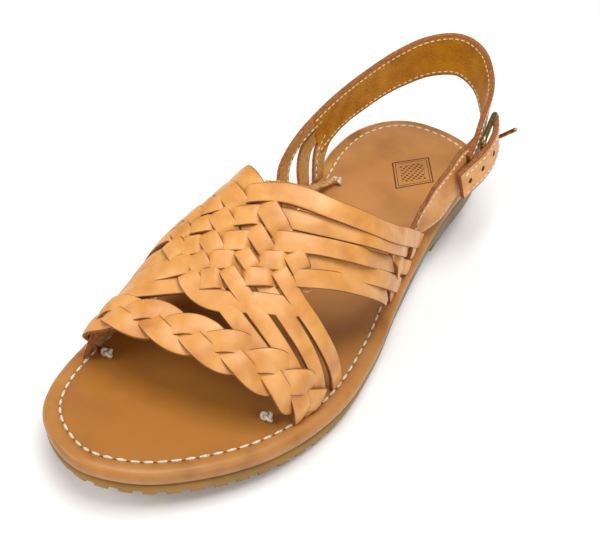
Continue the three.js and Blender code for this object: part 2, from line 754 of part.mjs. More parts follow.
add('outsole', outsole(), RUBBER);
add('platform', platform(), WRAP);
add('insole', insole(), WRAP);
add('vamp', vamp(), LEATHER);
add('quarter_strap', quarterStrap(), LEATHER);
add('heel_strap', heelStrap(), LEATHER);
add('medial_lace', medialLace(), LEATHER);
add('buckle_frame', buckleFrame(), BRASS);
add('buckle_prong', buckleProng(), BRASS);
KNOTS.forEach((place, i) => add(`thread_knot_${i + 1}`, knot(place), COTTON));

export default sandal;
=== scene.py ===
import math

import bpy
import numpy as np
from mathutils import Matrix, Vector


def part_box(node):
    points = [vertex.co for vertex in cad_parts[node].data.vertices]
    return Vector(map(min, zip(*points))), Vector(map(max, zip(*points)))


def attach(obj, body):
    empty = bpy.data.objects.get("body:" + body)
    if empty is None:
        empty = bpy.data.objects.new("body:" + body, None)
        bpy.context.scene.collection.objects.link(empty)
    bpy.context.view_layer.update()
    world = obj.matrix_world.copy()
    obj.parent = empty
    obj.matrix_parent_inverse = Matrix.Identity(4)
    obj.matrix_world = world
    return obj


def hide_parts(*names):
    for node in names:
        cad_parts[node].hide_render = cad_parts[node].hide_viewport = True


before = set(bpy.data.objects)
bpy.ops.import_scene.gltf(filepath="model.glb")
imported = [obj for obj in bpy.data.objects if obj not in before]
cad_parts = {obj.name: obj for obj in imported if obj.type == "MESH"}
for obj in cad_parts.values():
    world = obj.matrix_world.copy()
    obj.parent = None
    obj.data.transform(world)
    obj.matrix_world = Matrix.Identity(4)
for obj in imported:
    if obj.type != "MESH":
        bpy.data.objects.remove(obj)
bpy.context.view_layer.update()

# ------------------------------------------------------------------ studio
# The sandal stands on a plain pale floor under a large soft light, with a weaker one at each side.
# The camera looks down at it from in front of its outer side.

MM = 0.001

scene = bpy.context.scene
bpy.ops.object.select_all(action="DESELECT")

VIEW_AZIMUTH = math.radians(30.727)
VIEW_ELEVATION = math.radians(43.94)
VIEW_ROLL = math.radians(5.943)
VIEW_DISTANCE = 407.488 * MM
VIEW_SLIDE = Vector((-3.615, -6.466)) * MM
VIEW_TARGET = Vector((0, 35.5, 20)) * MM
LENS = 52.3

back = Vector((math.sin(VIEW_AZIMUTH) * math.cos(VIEW_ELEVATION),
               -math.cos(VIEW_AZIMUTH) * math.cos(VIEW_ELEVATION),
               math.sin(VIEW_ELEVATION)))
right = Vector((math.cos(VIEW_AZIMUTH), math.sin(VIEW_AZIMUTH), 0))
upward = back.cross(right)
rolled_right = math.cos(VIEW_ROLL) * right + math.sin(VIEW_ROLL) * upward
rolled_up = -math.sin(VIEW_ROLL) * right + math.cos(VIEW_ROLL) * upward
camera_place = (VIEW_TARGET + back * VIEW_DISTANCE
                + rolled_right * VIEW_SLIDE.x + rolled_up * VIEW_SLIDE.y)

bpy.ops.object.camera_add()
camera = bpy.context.object
camera.name = "studio_camera"
camera.matrix_world = Matrix((
    (rolled_right.x, rolled_up.x, back.x, camera_place.x),
    (rolled_right.y, rolled_up.y, back.y, camera_place.y),
    (rolled_right.z, rolled_up.z, back.z, camera_place.z),
    (0, 0, 0, 1)))
camera.data.sensor_width = 36
camera.data.lens = LENS
camera.data.clip_start = 0.01
scene.camera = camera

FLOOR_COLOUR = (0.93, 0.93, 0.925, 1)
bpy.ops.mesh.primitive_plane_add(size=6, location=(0, 0, 0))
floor = bpy.context.object
floor.name = "studio_floor"
floor_paint = bpy.data.materials.new("studio_floor")
floor_paint.use_nodes = True
floor_paint.node_tree.nodes["Principled BSDF"].inputs["Base Color"].default_value = FLOOR_COLOUR
floor_paint.node_tree.nodes["Principled BSDF"].inputs["Roughness"].default_value = 0.9
floor.data.materials.append(floor_paint)


def studio_light(name, place, size, power, aim=(0, 0, 0.03)):
    """A square light of a size in metres and a power in watts, turned to the sandal."""
    bpy.ops.object.light_add(type="AREA", location=place)
    light = bpy.context.object
    light.name = name
    light.data.shape = "SQUARE"
    light.data.size = size
    light.data.energy = power
    light.rotation_euler = (Vector(place) - Vector(aim)).to_track_quat("Z", "Y").to_euler()


studio_light("overhead_light", (0.12, 0.08, 1.25), 0.75, 12)
studio_light("front_light", (-0.75, -0.9, 0.85), 0.6, 7.5)
studio_light("outer_light", (1.1, -0.35, 0.7), 0.7, 5)

world = bpy.data.worlds.new("studio_world")
world.use_nodes = True
world.node_tree.nodes["Background"].inputs["Color"].default_value = (1, 1, 1, 1)
world.node_tree.nodes["Background"].inputs["Strength"].default_value = 0.3
scene.world = world
scene.view_settings.view_transform = "Standard"

# ------------------------------------------------------------------ outsole
# One moulding of gum rubber: a low heel block, a raised arch and a ring of square lugs round the
# edge. Stations run along the foot from the back of the heel, in millimetres, as a last maker's do.

HEEL_END = 3.0
TOE_END = 288.0
TIP_X = -2.0
TOE_TIP_X = -5.0
OUTLINE_STEP = 1.5
HEEL_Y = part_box("platform")[1].y / MM

OUTLINE_STATION = [6.5, 17, 36, 60, 91, 127, 164, 200, 237, 268, 281]
OUTLINE_LATERAL = [16.5, 27.6, 31.6, 33.2, 36.9, 43.4, 52.4, 56.1, 47.8, 28.4, 13.9]
OUTLINE_MEDIAL = [-20.5, -32.6, -40.6, -40.8, -34.4, -35.1, -41.2, -49.2, -46.9, -38.0, -27.0]


def y_of(station):
    """Place along the row frame's Y of a station, in millimetres."""
    return HEEL_Y + HEEL_END - station


def ease(t):
    """0 up to t = 0, 1 from t = 1, with a smooth run between them."""
    t = np.clip(t, 0, 1)
    return t * t * (3 - 2 * t)


def lengths_along(line):
    """Length from a line's start to each of its points."""
    return np.concatenate([[0], np.cumsum(np.linalg.norm(np.diff(line, axis=0), axis=1))])


def directions(line):
    """Unit direction of an open line at each of its points."""
    along = np.gradient(line, axis=0)
    along /= np.linalg.norm(along, axis=1)[:, None]
    return along


def left_of(along):
    """Unit directions square to a flat line's own, on its left."""
    return np.stack([-along[:, 1], along[:, 0]], axis=1)


def smooth_route(points, step=1.0, closed=False):
    """Evenly spaced points on a centripetal curve through a few points."""
    points = np.array(points, float)
    count = len(points)
    if closed:
        ring = np.vstack([points[-1], points, points[0], points[1]])
        spans = count
    else:
        ring = np.vstack([2 * points[0] - points[1], points, 2 * points[-1] - points[-2]])
        spans = count - 1
    dense = []
    for i in range(spans):
        p0, p1, p2, p3 = ring[i:i + 4]
        t0 = 0.0
        t1 = t0 + max(np.linalg.norm(p1 - p0), 1e-6) ** 0.5
        t2 = t1 + max(np.linalg.norm(p2 - p1), 1e-6) ** 0.5
        t3 = t2 + max(np.linalg.norm(p3 - p2), 1e-6) ** 0.5
        t = np.linspace(t1, t2, 40, endpoint=False)[:, None]
        a1 = (t1 - t) / (t1 - t0) * p0 + (t - t0) / (t1 - t0) * p1
        a2 = (t2 - t) / (t2 - t1) * p1 + (t - t1) / (t2 - t1) * p2
        a3 = (t3 - t) / (t3 - t2) * p2 + (t - t2) / (t3 - t2) * p3
        b1 = (t2 - t) / (t2 - t0) * a1 + (t - t0) / (t2 - t0) * a2
        b2 = (t3 - t) / (t3 - t1) * a2 + (t - t1) / (t3 - t1) * a3
        dense.append((t2 - t) / (t2 - t1) * b1 + (t - t1) / (t2 - t1) * b2)
    dense = np.vstack(dense + [points[:1] if closed else points[-1:]])
    lengths = lengths_along(dense)
    wanted = np.linspace(0, lengths[-1], max(int(round(lengths[-1] / step)), 2) + 1)
    return np.stack([np.interp(wanted, lengths, dense[:, k]) for k in range(dense.shape[1])], axis=1)


outline = smooth_route(
    [(TIP_X, HEEL_END)] + list(zip(OUTLINE_LATERAL, OUTLINE_STATION))
    + [(TOE_TIP_X, TOE_END)] + list(zip(OUTLINE_MEDIAL, OUTLINE_STATION))[::-1],
    step=OUTLINE_STEP, closed=True)[:-1]
outline_length = np.linalg.norm(np.roll(outline, -1, axis=0) - outline, axis=1).sum()
outline_along = np.roll(outline, -1, axis=0) - np.roll(outline, 1, axis=0)
outline_along /= np.linalg.norm(outline_along, axis=1)[:, None]
outline_inward = left_of(outline_along)


def edge_point(share, inset):
    """Place (x, station) at a share of the way round the sole, moved in from its edge."""
    at = (share % 1.0) * len(outline)
    i = int(at) % len(outline)
    j = (i + 1) % len(outline)
    t = at - int(at)
    point = outline[i] * (1 - t) + outline[j] * t
    inward = outline_inward[i] * (1 - t) + outline_inward[j] * t
    return point + inward * inset


# The insole's top falls from the heel seat to the ball, then rises to the toe along with the tread.
BALL_HEIGHT = 15.2
HEEL_RISE = 6.8
HEEL_FALL_FROM = 55
HEEL_FALL_LENGTH = 110
TOE_SPRING_FROM = 171
TOE_SPRING = 11.5
TREAD_SPRING_FROM = 196
TREAD_SPRING = 12.5
ARCH_RISE = 5.0
HEEL_BREAST = 76
ARCH_FALL_FROM = 84
ARCH_FALL_LENGTH = 42


def footbed(station):
    """Height of the insole's top at a station."""
    seat = BALL_HEIGHT + HEEL_RISE * (1 - ease((station - HEEL_FALL_FROM) / HEEL_FALL_LENGTH))
    toe = np.clip(station - TOE_SPRING_FROM, 0, None) / (TOE_END - TOE_SPRING_FROM)
    return seat + TOE_SPRING * toe ** 1.93


def tread(station):
    """Height of the outsole's underside at a station."""
    toe = np.clip(station - TREAD_SPRING_FROM, 0, None) / (TOE_END - TREAD_SPRING_FROM)
    arch = ARCH_RISE * ease((station - HEEL_BREAST) / 2)
    arch *= 1 - ease((station - ARCH_FALL_FROM) / ARCH_FALL_LENGTH)
    return TREAD_SPRING * toe ** 1.8 + arch


def laid_grid(name, along, across, place, closed_along=False, closed_across=False):
    """A grid whose corners are laid by place(a, b), a and b running from 0 to 1 over the grid."""
    bpy.ops.object.select_all(action="DESELECT")
    bpy.ops.mesh.primitive_grid_add(x_subdivisions=along, y_subdivisions=across, size=1)
    piece = bpy.context.object
    piece.name = name
    piece.data.name = name
    for corner in piece.data.vertices:
        corner.co = Vector(place(corner.co.x + 0.5, corner.co.y + 0.5)) * MM
    if closed_along or closed_across:
        bpy.ops.object.mode_set(mode="EDIT")
        bpy.ops.mesh.select_all(action="SELECT")
        bpy.ops.mesh.remove_doubles(threshold=0.02 * MM)
        bpy.ops.mesh.normals_make_consistent(inside=False)
        bpy.ops.object.mode_set(mode="OBJECT")
    bpy.ops.object.shade_smooth_by_angle(angle=math.radians(50))
    return piece


def modify(piece, kind, **settings):
    """Adds a modifier with these settings and applies it."""
    bpy.ops.object.select_all(action="DESELECT")
    piece.select_set(True)
    bpy.context.view_layer.objects.active = piece
    modifier = piece.modifiers.new(kind.lower(), kind)
    for key, value in settings.items():
        setattr(modifier, key, value)
    bpy.ops.object.modifier_apply(modifier=modifier.name)


def finish(piece, paint, slot, *nodes):
    """Paints a piece and fixes it to the sandal, in place of the CAD nodes it stands for."""
    if paint:
        piece.data.materials.clear()
        piece.data.materials.append(paint)
    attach(piece, "root")
    if nodes:
        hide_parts(*nodes)


def new_paint(name, **numbers):
    """A material, its node tree and its shader, with some of the shader's numbers set."""
    paint = bpy.data.materials.new(name)
    paint.use_nodes = True
    shader = paint.node_tree.nodes["Principled BSDF"]
    for key, number in numbers.items():
        shader.inputs[key.replace("_", " ")].default_value = number
    return paint, paint.node_tree, shader


def mix_colours(tree, factor, first, second):
    """A colour mixed from two by a factor: each is a colour or an output."""
    mix = tree.nodes.new("ShaderNodeMix")
    mix.data_type = "RGBA"
    for socket, value in ((mix.inputs[0], factor), (mix.inputs[6], first), (mix.inputs[7], second)):
        if isinstance(value, bpy.types.NodeSocket):
            tree.links.new(value, socket)
        else:
            socket.default_value = value
    return mix.outputs[2]


def ramp(tree, value, low, high, start=0.0, end=1.0):
    """Maps a value from low..high to start..end, held at both ends."""
    scale = tree.nodes.new("ShaderNodeMapRange")
    for key, number in ((1, low), (2, high), (3, start), (4, end)):
        scale.inputs[key].default_value = number
    tree.links.new(value, scale.inputs[0])
    return scale.outputs[0]


def blend(tree, under, over, mask, low, high, most=1.0):
    """Lays one colour over another, from none where the mask is low to most where it is high."""
    return mix_colours(tree, ramp(tree, mask, low, high, 0, most), under, over)


def own_place(tree):
    """The piece's own coordinates in metres, as outputs X, Y and Z."""
    place = tree.nodes.new("ShaderNodeTexCoord")
    split = tree.nodes.new("ShaderNodeSeparateXYZ")
    tree.links.new(place.outputs["Object"], split.inputs[0])
    return split.outputs


def maths(tree, operation, first, second=None):
    """One arithmetic node on outputs or numbers."""
    made = tree.nodes.new("ShaderNodeMath")
    made.operation = operation
    for socket, value in zip(made.inputs, (first, second)):
        if isinstance(value, bpy.types.NodeSocket):
            tree.links.new(value, socket)
        elif value is not None:
            socket.default_value = value
    return made.outputs[0]


def noise(tree, scale, detail=3.0, stretch=(1, 1, 1), rough=0.5):
    """Noise on the piece's own coordinates, at a scale in cells a metre."""
    place = tree.nodes.new("ShaderNodeTexCoord")
    turn = tree.nodes.new("ShaderNodeMapping")
    turn.inputs["Scale"].default_value = stretch
    made = tree.nodes.new("ShaderNodeTexNoise")
    made.inputs["Scale"].default_value = scale
    made.inputs["Detail"].default_value = detail
    made.inputs["Roughness"].default_value = rough
    tree.links.new(place.outputs["Object"], turn.inputs["Vector"])
    tree.links.new(turn.outputs["Vector"], made.inputs["Vector"])
    return made.outputs["Fac"]


def bump(tree, shader, height, strength, distance):
    """Lets a height raise the surface by a distance in metres."""
    made = tree.nodes.new("ShaderNodeBump")
    made.inputs["Strength"].default_value = strength
    made.inputs["Distance"].default_value = distance
    tree.links.new(height, made.inputs["Height"])
    tree.links.new(made.outputs["Normal"], shader.inputs["Normal"])


OUTSOLE_TOP = 8.0
LUG_PITCH = 9.2
LUG_DEPTH = 1.9
LUG_STEPS = 11
GROOVE_FROM, GROOVE_TO = 0.36, 0.64
GROOVE_ROOF = 0.9
PLAIN_FROM, PLAIN_TO = 74, 124
TREAD_INSET = 13
TREAD_RISE = 1.2
TREAD_THICKNESS = 2.0
EDGE_STEPS = 900

GUM_COLOUR = (0.33, 0.165, 0.022, 1)
GUM_PALE = (0.25, 0.19, 0.10, 1)
GUM_DARK = (0.16, 0.085, 0.025, 1)

lug_count = int(outline_length / LUG_PITCH)
# Rows of the sole wall, from the tread's inner edge out and up: inset, rise from the tread and share of
# the lug's depth. The top rows go on in under the platform: inset and height from its foot.
WALL_ROWS = [
    (16, 0.25, 0.0), (6, 0.05, 0.0), (2.2, 0.0, 1.0), (1.5, 0.35, 1.0), (1.15, 1.2, 1.0), (1.05, 2.2, 1.0),
    (0.95, 3.0, 0.6), (0.6, 3.5, 0.0), (0.35, 4.0, 0.0),
]
WALL_TOP_ROWS = [(0.35, -2.2), (0.5, -1.1), (0.9, -0.4), (1.6, 0.0), (12, 0.0)]


def outsole_place(a, b):
    """A corner of the sole wall: round the sole by a, through its rows by b, with no lugs at the arch."""
    rows = len(WALL_ROWS) + len(WALL_TOP_ROWS)
    row = int(round(b * rows)) % rows
    share = a % 1.0
    lug = (share * lug_count) % 1.0
    station = edge_point(share, 0)[1]
    plain = ease((station - PLAIN_FROM) / 4) * (1 - ease((station - PLAIN_TO) / 6))
    groove = (1 - plain) if GROOVE_FROM < lug < GROOVE_TO else 0.0
    if row < len(WALL_ROWS):
        inset, rise, cut = WALL_ROWS[row]
        x, station = edge_point(share, inset + groove * cut * LUG_DEPTH)
        z = tread(station) + rise
        if groove and 2 <= row <= 4:
            z += GROOVE_ROOF
        return x, y_of(station), z
    inset, drop = WALL_TOP_ROWS[row - len(WALL_ROWS)]
    x, station = edge_point(share, inset)
    return x, y_of(station), footbed(station) - OUTSOLE_TOP + drop


outsole = laid_grid("outsole_wall", lug_count * LUG_STEPS, len(WALL_ROWS) + len(WALL_TOP_ROWS), outsole_place,
                    closed_along=True, closed_across=True)


def side_edges(inset, count=240):
    """Stations from heel to toe, closer at both ends, with an inset outline's lateral and medial x."""
    ring = np.array([edge_point(i / EDGE_STEPS, inset) for i in range(EDGE_STEPS)])
    heel, toe = ring[:, 1].argmin(), ring[:, 1].argmax()
    ring = np.roll(ring, -heel, axis=0)
    toe = (toe - heel) % EDGE_STEPS
    lateral, medial = ring[:toe + 1], np.vstack([ring[toe:], ring[:1]])[::-1]
    if lateral[len(lateral) // 2, 0] < medial[len(medial) // 2, 0]:
        lateral, medial = medial, lateral
    low, high = ring[:, 1].min(), ring[:, 1].max()
    stations = low + (high - low) * (1 - np.cos(np.linspace(0, math.pi, count + 1))) / 2
    return (stations, np.interp(stations, lateral[:, 1], lateral[:, 0]),
            np.interp(stations, medial[:, 1], medial[:, 0]))


def flat_sheet(name, inset, height, along=200, across=48):
    """A sheet across the sole inside an inset outline, at a height that follows the station."""
    stations, lateral, medial = side_edges(inset)
    shares = np.linspace(0, 1, len(stations))

    def place(a, b):
        """A corner of the sheet, a from heel to toe and b from the outer side to the inner."""
        station = np.interp(a, shares, stations)
        x = np.interp(a, shares, lateral) * (1 - b) + np.interp(a, shares, medial) * b
        return x, y_of(station), height(station)

    return laid_grid(name, along, across, place)


tread_plate = flat_sheet("outsole_tread", TREAD_INSET, lambda s: tread(s) + TREAD_RISE, across=24)
modify(tread_plate, "SOLIDIFY", thickness=TREAD_THICKNESS * MM, offset=0)

gum, tree, shader = new_paint("gum_rubber", Roughness=0.62)
speckle = noise(tree, 900, 4)
streak = noise(tree, 60, 3)
tone = blend(tree, GUM_COLOUR, GUM_PALE, own_place(tree)["Y"], -0.03, 0.05)
tone = blend(tree, tone, GUM_DARK, streak, 0.62, 0.35, 0.45)
tone = blend(tree, tone, GUM_DARK, speckle, 0.62, 0.75, 0.5)
tree.links.new(tone, shader.inputs["Base Color"])
bump(tree, shader, speckle, 0.35, 0.0004)

finish(outsole, gum, "rubber", "outsole")
finish(tread_plate, gum, "rubber")

# ------------------------------------------------------------------ platform
# A thin firm midsole wrapped in tan leather. The leather turns over the edge in a soft round and
# dips to a shallow channel where the insole is sewn down.

RIM_STEPS = 460
WRAP_COLOUR = (0.37, 0.145, 0.028, 1)
WRAP_DARK = (0.22, 0.075, 0.014, 1)
WRAP_LIGHT = (0.50, 0.225, 0.06, 1)

# Rows of the wrapped edge as inset and height, the first from the platform's foot and the others from
# the insole's top.
RIM_FOOT_ROWS = [(12, 0.3), (2.4, 0.3), (1.1, 0.7), (0.5, 1.5), (0.15, 2.6)]
RIM_TOP_ROWS = [
    (0.0, -3.6), (0.1, -2.6), (0.45, -1.7), (1.05, -0.95), (1.9, -0.4), (2.9, -0.1), (4.0, 0.0),
    (5.2, -0.05), (6.1, -0.35), (6.6, -0.75), (6.9, -1.3), (7.0, -2.6), (12, -2.6),
]


def platform_place(a, b):
    """A corner of the wrapped edge: round the sole by a, and through its rows by b."""
    rows = len(RIM_FOOT_ROWS) + len(RIM_TOP_ROWS)
    row = int(round(b * rows)) % rows
    if row < len(RIM_FOOT_ROWS):
        inset, rise = RIM_FOOT_ROWS[row]
        rise -= OUTSOLE_TOP
    else:
        inset, rise = RIM_TOP_ROWS[row - len(RIM_FOOT_ROWS)]
    x, station = edge_point(a, inset)
    return x, y_of(station), footbed(station) + rise


platform = laid_grid("platform_wrap", RIM_STEPS, len(RIM_FOOT_ROWS) + len(RIM_TOP_ROWS), platform_place,
                     closed_along=True, closed_across=True)


def leather_grain():
    """A node group: fine pores and soft mottling of vegetable-tanned leather."""
    group = bpy.data.node_groups.new("leather_grain", "ShaderNodeTree")
    for name, value in (("Pore Scale", 2200.0), ("Mottle Scale", 90.0)):
        socket = group.interface.new_socket(name=name, in_out="INPUT", socket_type="NodeSocketFloat")
        socket.default_value = value
    for name in ("Height", "Mottle", "Fine"):
        group.interface.new_socket(name=name, in_out="OUTPUT", socket_type="NodeSocketFloat")
    inside = group.nodes.new("NodeGroupInput")
    outside = group.nodes.new("NodeGroupOutput")
    place = group.nodes.new("ShaderNodeTexCoord")
    pores = group.nodes.new("ShaderNodeTexVoronoi")
    pores.feature = "DISTANCE_TO_EDGE"
    fibres = group.nodes.new("ShaderNodeTexNoise")
    fibres.inputs["Detail"].default_value = 5
    mottle = group.nodes.new("ShaderNodeTexNoise")
    mottle.inputs["Detail"].default_value = 4
    for made, scale in ((pores, "Pore Scale"), (fibres, "Pore Scale"), (mottle, "Mottle Scale")):
        group.links.new(place.outputs["Object"], made.inputs["Vector"])
        group.links.new(inside.outputs[scale], made.inputs["Scale"])
    height = maths(group, "MULTIPLY", pores.outputs["Distance"], 0.8)
    height = maths(group, "ADD", height, fibres.outputs["Fac"])
    group.links.new(height, outside.inputs["Height"])
    group.links.new(mottle.outputs["Fac"], outside.inputs["Mottle"])
    group.links.new(fibres.outputs["Fac"], outside.inputs["Fine"])
    return group


GRAIN = leather_grain()


def add_grain(tree, pore_scale=2200.0, mottle_scale=90.0):
    """The leather grain's outputs, at scales in cells a metre."""
    made = tree.nodes.new("ShaderNodeGroup")
    made.node_tree = GRAIN
    made.inputs["Pore Scale"].default_value = pore_scale
    made.inputs["Mottle Scale"].default_value = mottle_scale
    return made.outputs


wrap, tree, shader = new_paint("wrap_leather", Roughness=0.36, Specular_IOR_Level=0.35)
grain = add_grain(tree, 1600, 55)
tone = blend(tree, WRAP_COLOUR, WRAP_LIGHT, grain["Mottle"], 0.35, 0.7)
tone = blend(tree, tone, WRAP_DARK, grain["Mottle"], 0.45, 0.25, 0.5)
tree.links.new(tone, shader.inputs["Base Color"])
bump(tree, shader, grain["Height"], 0.25, 0.00025)
finish(platform, wrap, "wrap_leather", "platform")

# ------------------------------------------------------------------ insole
# A smooth leather footbed, darker towards the toe, with a small ink stamp on the heel seat. It lies in
# the platform's recess and is sewn down all round with waxed white thread.

INSOLE_INSET = 6.7
INSOLE_FRONT = (0.40, 0.155, 0.024, 1)
INSOLE_BACK = (0.50, 0.22, 0.062, 1)
INSOLE_SHADE = (0.27, 0.10, 0.022, 1)
INK = (0.02, 0.012, 0.01, 1)
STAMP_X = 4.0
STAMP_STATION = 50.0
STAMP_HALF_WIDTH = 13
STAMP_HALF_LENGTH = 18
STAMP_DOTS = 1500

# Soft troughs across the ball where the leather creases as the foot bends: station, depth, half width.
CREASES = [(193, 0.22, 2.0), (202, 0.3, 2.4), (212, 0.18, 2.0)]


def insole_height(station):
    """Height of the leather's face at a station."""
    creased = sum(depth * math.exp(-((station - place) / half) ** 2) for place, depth, half in CREASES)
    return footbed(station) - 0.55 - creased


insole = flat_sheet("insole_leather", INSOLE_INSET, insole_height, along=280, across=60)


def line_mask(tree, value, centre, half_width):
    """1 where a value lies within half a line's width of its centre."""
    near = maths(tree, "COMPARE", value, centre)
    near.node.inputs[2].default_value = half_width
    return near


footbed_leather, tree, shader = new_paint("insole_leather", Roughness=0.42, Specular_IOR_Level=0.4,
                                          Coat_Weight=0.08, Coat_Roughness=0.3)
grain = add_grain(tree, 1500, 40)
place = own_place(tree)
tone = blend(tree, INSOLE_BACK, INSOLE_FRONT, place["Y"], 0.07, -0.02)
tone = blend(tree, tone, INSOLE_SHADE, grain["Mottle"], 0.55, 0.3, 0.45)

# The stamp is two lozenge lines round a lattice of dots, worn thin in places.
stamp_x = maths(tree, "SUBTRACT", place["X"], STAMP_X * MM)
stamp_y = maths(tree, "SUBTRACT", place["Y"], y_of(STAMP_STATION) * MM)
across = maths(tree, "ABSOLUTE", maths(tree, "DIVIDE", stamp_x, STAMP_HALF_WIDTH * MM))
along = maths(tree, "ABSOLUTE", maths(tree, "DIVIDE", stamp_y, STAMP_HALF_LENGTH * MM))
lozenge = maths(tree, "ADD", across, along)
rings = maths(tree, "MAXIMUM", line_mask(tree, lozenge, 0.96, 0.035), line_mask(tree, lozenge, 0.83, 0.018))
rising = maths(tree, "MULTIPLY", maths(tree, "ADD", stamp_x, stamp_y), STAMP_DOTS)
falling = maths(tree, "MULTIPLY", maths(tree, "SUBTRACT", stamp_x, stamp_y), STAMP_DOTS)
lattice = maths(tree, "MULTIPLY", maths(tree, "SINE", rising), maths(tree, "SINE", falling))
dots = maths(tree, "MULTIPLY", maths(tree, "GREATER_THAN", lattice, 0.25),
             maths(tree, "LESS_THAN", lozenge, 0.62))
worn = ramp(tree, grain["Fine"], 0.3, 0.5, 0.55, 0.92)
ink = maths(tree, "MULTIPLY", maths(tree, "MAXIMUM", rings, dots), worn)
tone = mix_colours(tree, ink, tone, INK)
tree.links.new(tone, shader.inputs["Base Color"])
bump(tree, shader, grain["Height"], 0.12, 0.0002)
finish(insole, footbed_leather, "insole_leather", "insole")

# ------------------------------------------------------------------ thread
# Waxed white cotton, sewn round the sole in stitches 5.6 mm apart. Each stitch is a short plump bead
# of thread that dips into the leather at both ends.

THREAD_COLOUR = (0.80, 0.74, 0.62, 1)
THREAD_SHADE = (0.52, 0.42, 0.28, 1)
SOLE_STITCH = 5.6
SOLE_THREAD = 1.15
STITCH_INSET = 6.75

thread, tree, shader = new_paint("waxed_thread", Roughness=0.7)
twist = noise(tree, 1400, 2)
tree.links.new(blend(tree, THREAD_SHADE, THREAD_COLOUR, twist, 0.35, 0.65), shader.inputs["Base Color"])
bump(tree, shader, twist, 0.5, 0.0002)


def stitch_row(name, spans, width):
    """A row of stitches, each from a start to an end point in millimetres, as one piece."""
    bpy.ops.object.select_all(action="DESELECT")
    bpy.ops.mesh.primitive_uv_sphere_add(segments=8, ring_count=6, radius=0.5)
    pattern = bpy.context.object
    copies = []
    for start, end in spans:
        start, end = Vector(start) * MM, Vector(end) * MM
        length = (end - start).length
        turn = (end - start).to_track_quat("Z", "Y").to_matrix().to_4x4()
        size = Matrix.Diagonal((width * MM, width * MM, length, 1))
        bead = pattern.copy()
        bead.data = pattern.data.copy()
        bead.data.transform(Matrix.Translation((start + end) / 2) @ turn @ size)
        bpy.context.collection.objects.link(bead)
        copies.append(bead)
    bpy.data.objects.remove(pattern)
    bpy.ops.object.select_all(action="DESELECT")
    for bead in copies:
        bead.select_set(True)
    bpy.context.view_layer.objects.active = copies[0]
    bpy.ops.object.join()
    row = bpy.context.object
    row.name = name
    row.data.name = name
    bpy.ops.object.shade_smooth()
    finish(row, thread, "thread")


sole_spans = []
sole_stitches = int(outline_length / SOLE_STITCH)
for i in range(sole_stitches):
    ends = []
    for share in (i + 0.1, i + 0.9):
        x, station = edge_point(share / sole_stitches, STITCH_INSET)
        ends.append((x, y_of(station), footbed(station) - 0.42))
    sole_spans.append(ends)
stitch_row("sole_stitches", sole_spans, SOLE_THREAD)

# ------------------------------------------------------------------ vamp
# Straps of thick vegetable-tanned leather, cut about 8 mm wide with raw edges. Five sweep straps and six
# cross straps pass over and under each other across the instep, and two more gather the sweep straps'
# ends at the outer side. All go down into the insole's edge.

RIDGE_STATION = [40, 92, 110, 130, 150, 165, 179, 192, 207, 222, 239, 252]
RIDGE_HEIGHT = [80, 80, 79, 76, 71, 66, 59.5, 52, 45, 35.5, 27.5, 22]
QUARTER_STATION = [44, 58, 68, 80, 95]
QUARTER_EDGE = [36.6, 39.6, 40.8, 39.2, 33.5]
RIDGE_SHIFT = 0.35
LATERAL_SQUARENESS = 2.3
MEDIAL_SQUARENESS = 2.6
LATERAL_INSET = 4
BALL_INSET = 4
BALL_INSET_FROM = 150
MEDIAL_INSET = 7
FOOT_GAP = 0.4
LAST_LOW, LAST_HIGH = 40, 262
LAST_ANGLES = 129
STRAP_WIDTH = 8.5
STRAP_THICKNESS = 1.9
EDGE_ROUND = 0.38

edge_stations, edge_lateral, edge_medial = side_edges(0)


def smooth_table(stations, values):
    """A table's stations and values, with a smooth curve through its rows."""
    route = smooth_route(list(zip(stations, values)), step=0.5)
    return route[:, 0], route[:, 1]


ridge_table = smooth_table(RIDGE_STATION, RIDGE_HEIGHT)
quarter_table = smooth_table(QUARTER_STATION, QUARTER_EDGE)


def last_measures(station):
    """Lateral edge, medial edge, ridge place, ridge height and base of the last at a station."""
    if station < QUARTER_STATION[-1]:
        lateral = np.interp(station, *quarter_table)
    else:
        inset = LATERAL_INSET + BALL_INSET * ease((station - BALL_INSET_FROM) / 40)
        lateral = np.interp(station, edge_stations, edge_lateral) - inset
    medial = np.interp(station, edge_stations, edge_medial) + MEDIAL_INSET
    ridge = (lateral + medial) / 2 - RIDGE_SHIFT * (lateral - medial) / 2
    return lateral, medial, ridge, np.interp(station, *ridge_table), footbed(station) + FOOT_GAP


last_rows = []
for station in range(LAST_LOW, LAST_HIGH + 1):
    lateral, medial, ridge, height, base = last_measures(float(station))
    angle = np.linspace(0, math.pi, LAST_ANGLES)
    c, s = np.cos(angle), np.clip(np.sin(angle), 0, None)
    power = np.where(c >= 0, 2 / LATERAL_SQUARENESS, 2 / MEDIAL_SQUARENESS)
    half = np.where(c >= 0, lateral - ridge, ridge - medial)
    x = ridge + half * np.sign(c) * np.abs(c) ** power
    z = base + height * s ** power
    girth = np.concatenate([[0], np.cumsum(np.hypot(np.diff(x), np.diff(z)))])
    last_rows.append((girth[LAST_ANGLES // 2] - girth, x, z))


def last_point(girth, station):
    """A point of the last at a girth from its ridge and a station."""
    at = min(max(station - LAST_LOW, 0), len(last_rows) - 1.001)
    i = int(at)
    t = at - i
    found = []
    for girths, x, z in (last_rows[i], last_rows[i + 1]):
        found.append((np.interp(girth, girths[::-1], x[::-1]), np.interp(girth, girths[::-1], z[::-1])))
    x = found[0][0] * (1 - t) + found[1][0] * t
    z = found[0][1] * (1 - t) + found[1][1] * t
    past = max(girth - last_rows[i][0][0], last_rows[i][0][-1] - girth, 0)
    return np.array((x, y_of(station), z - past))


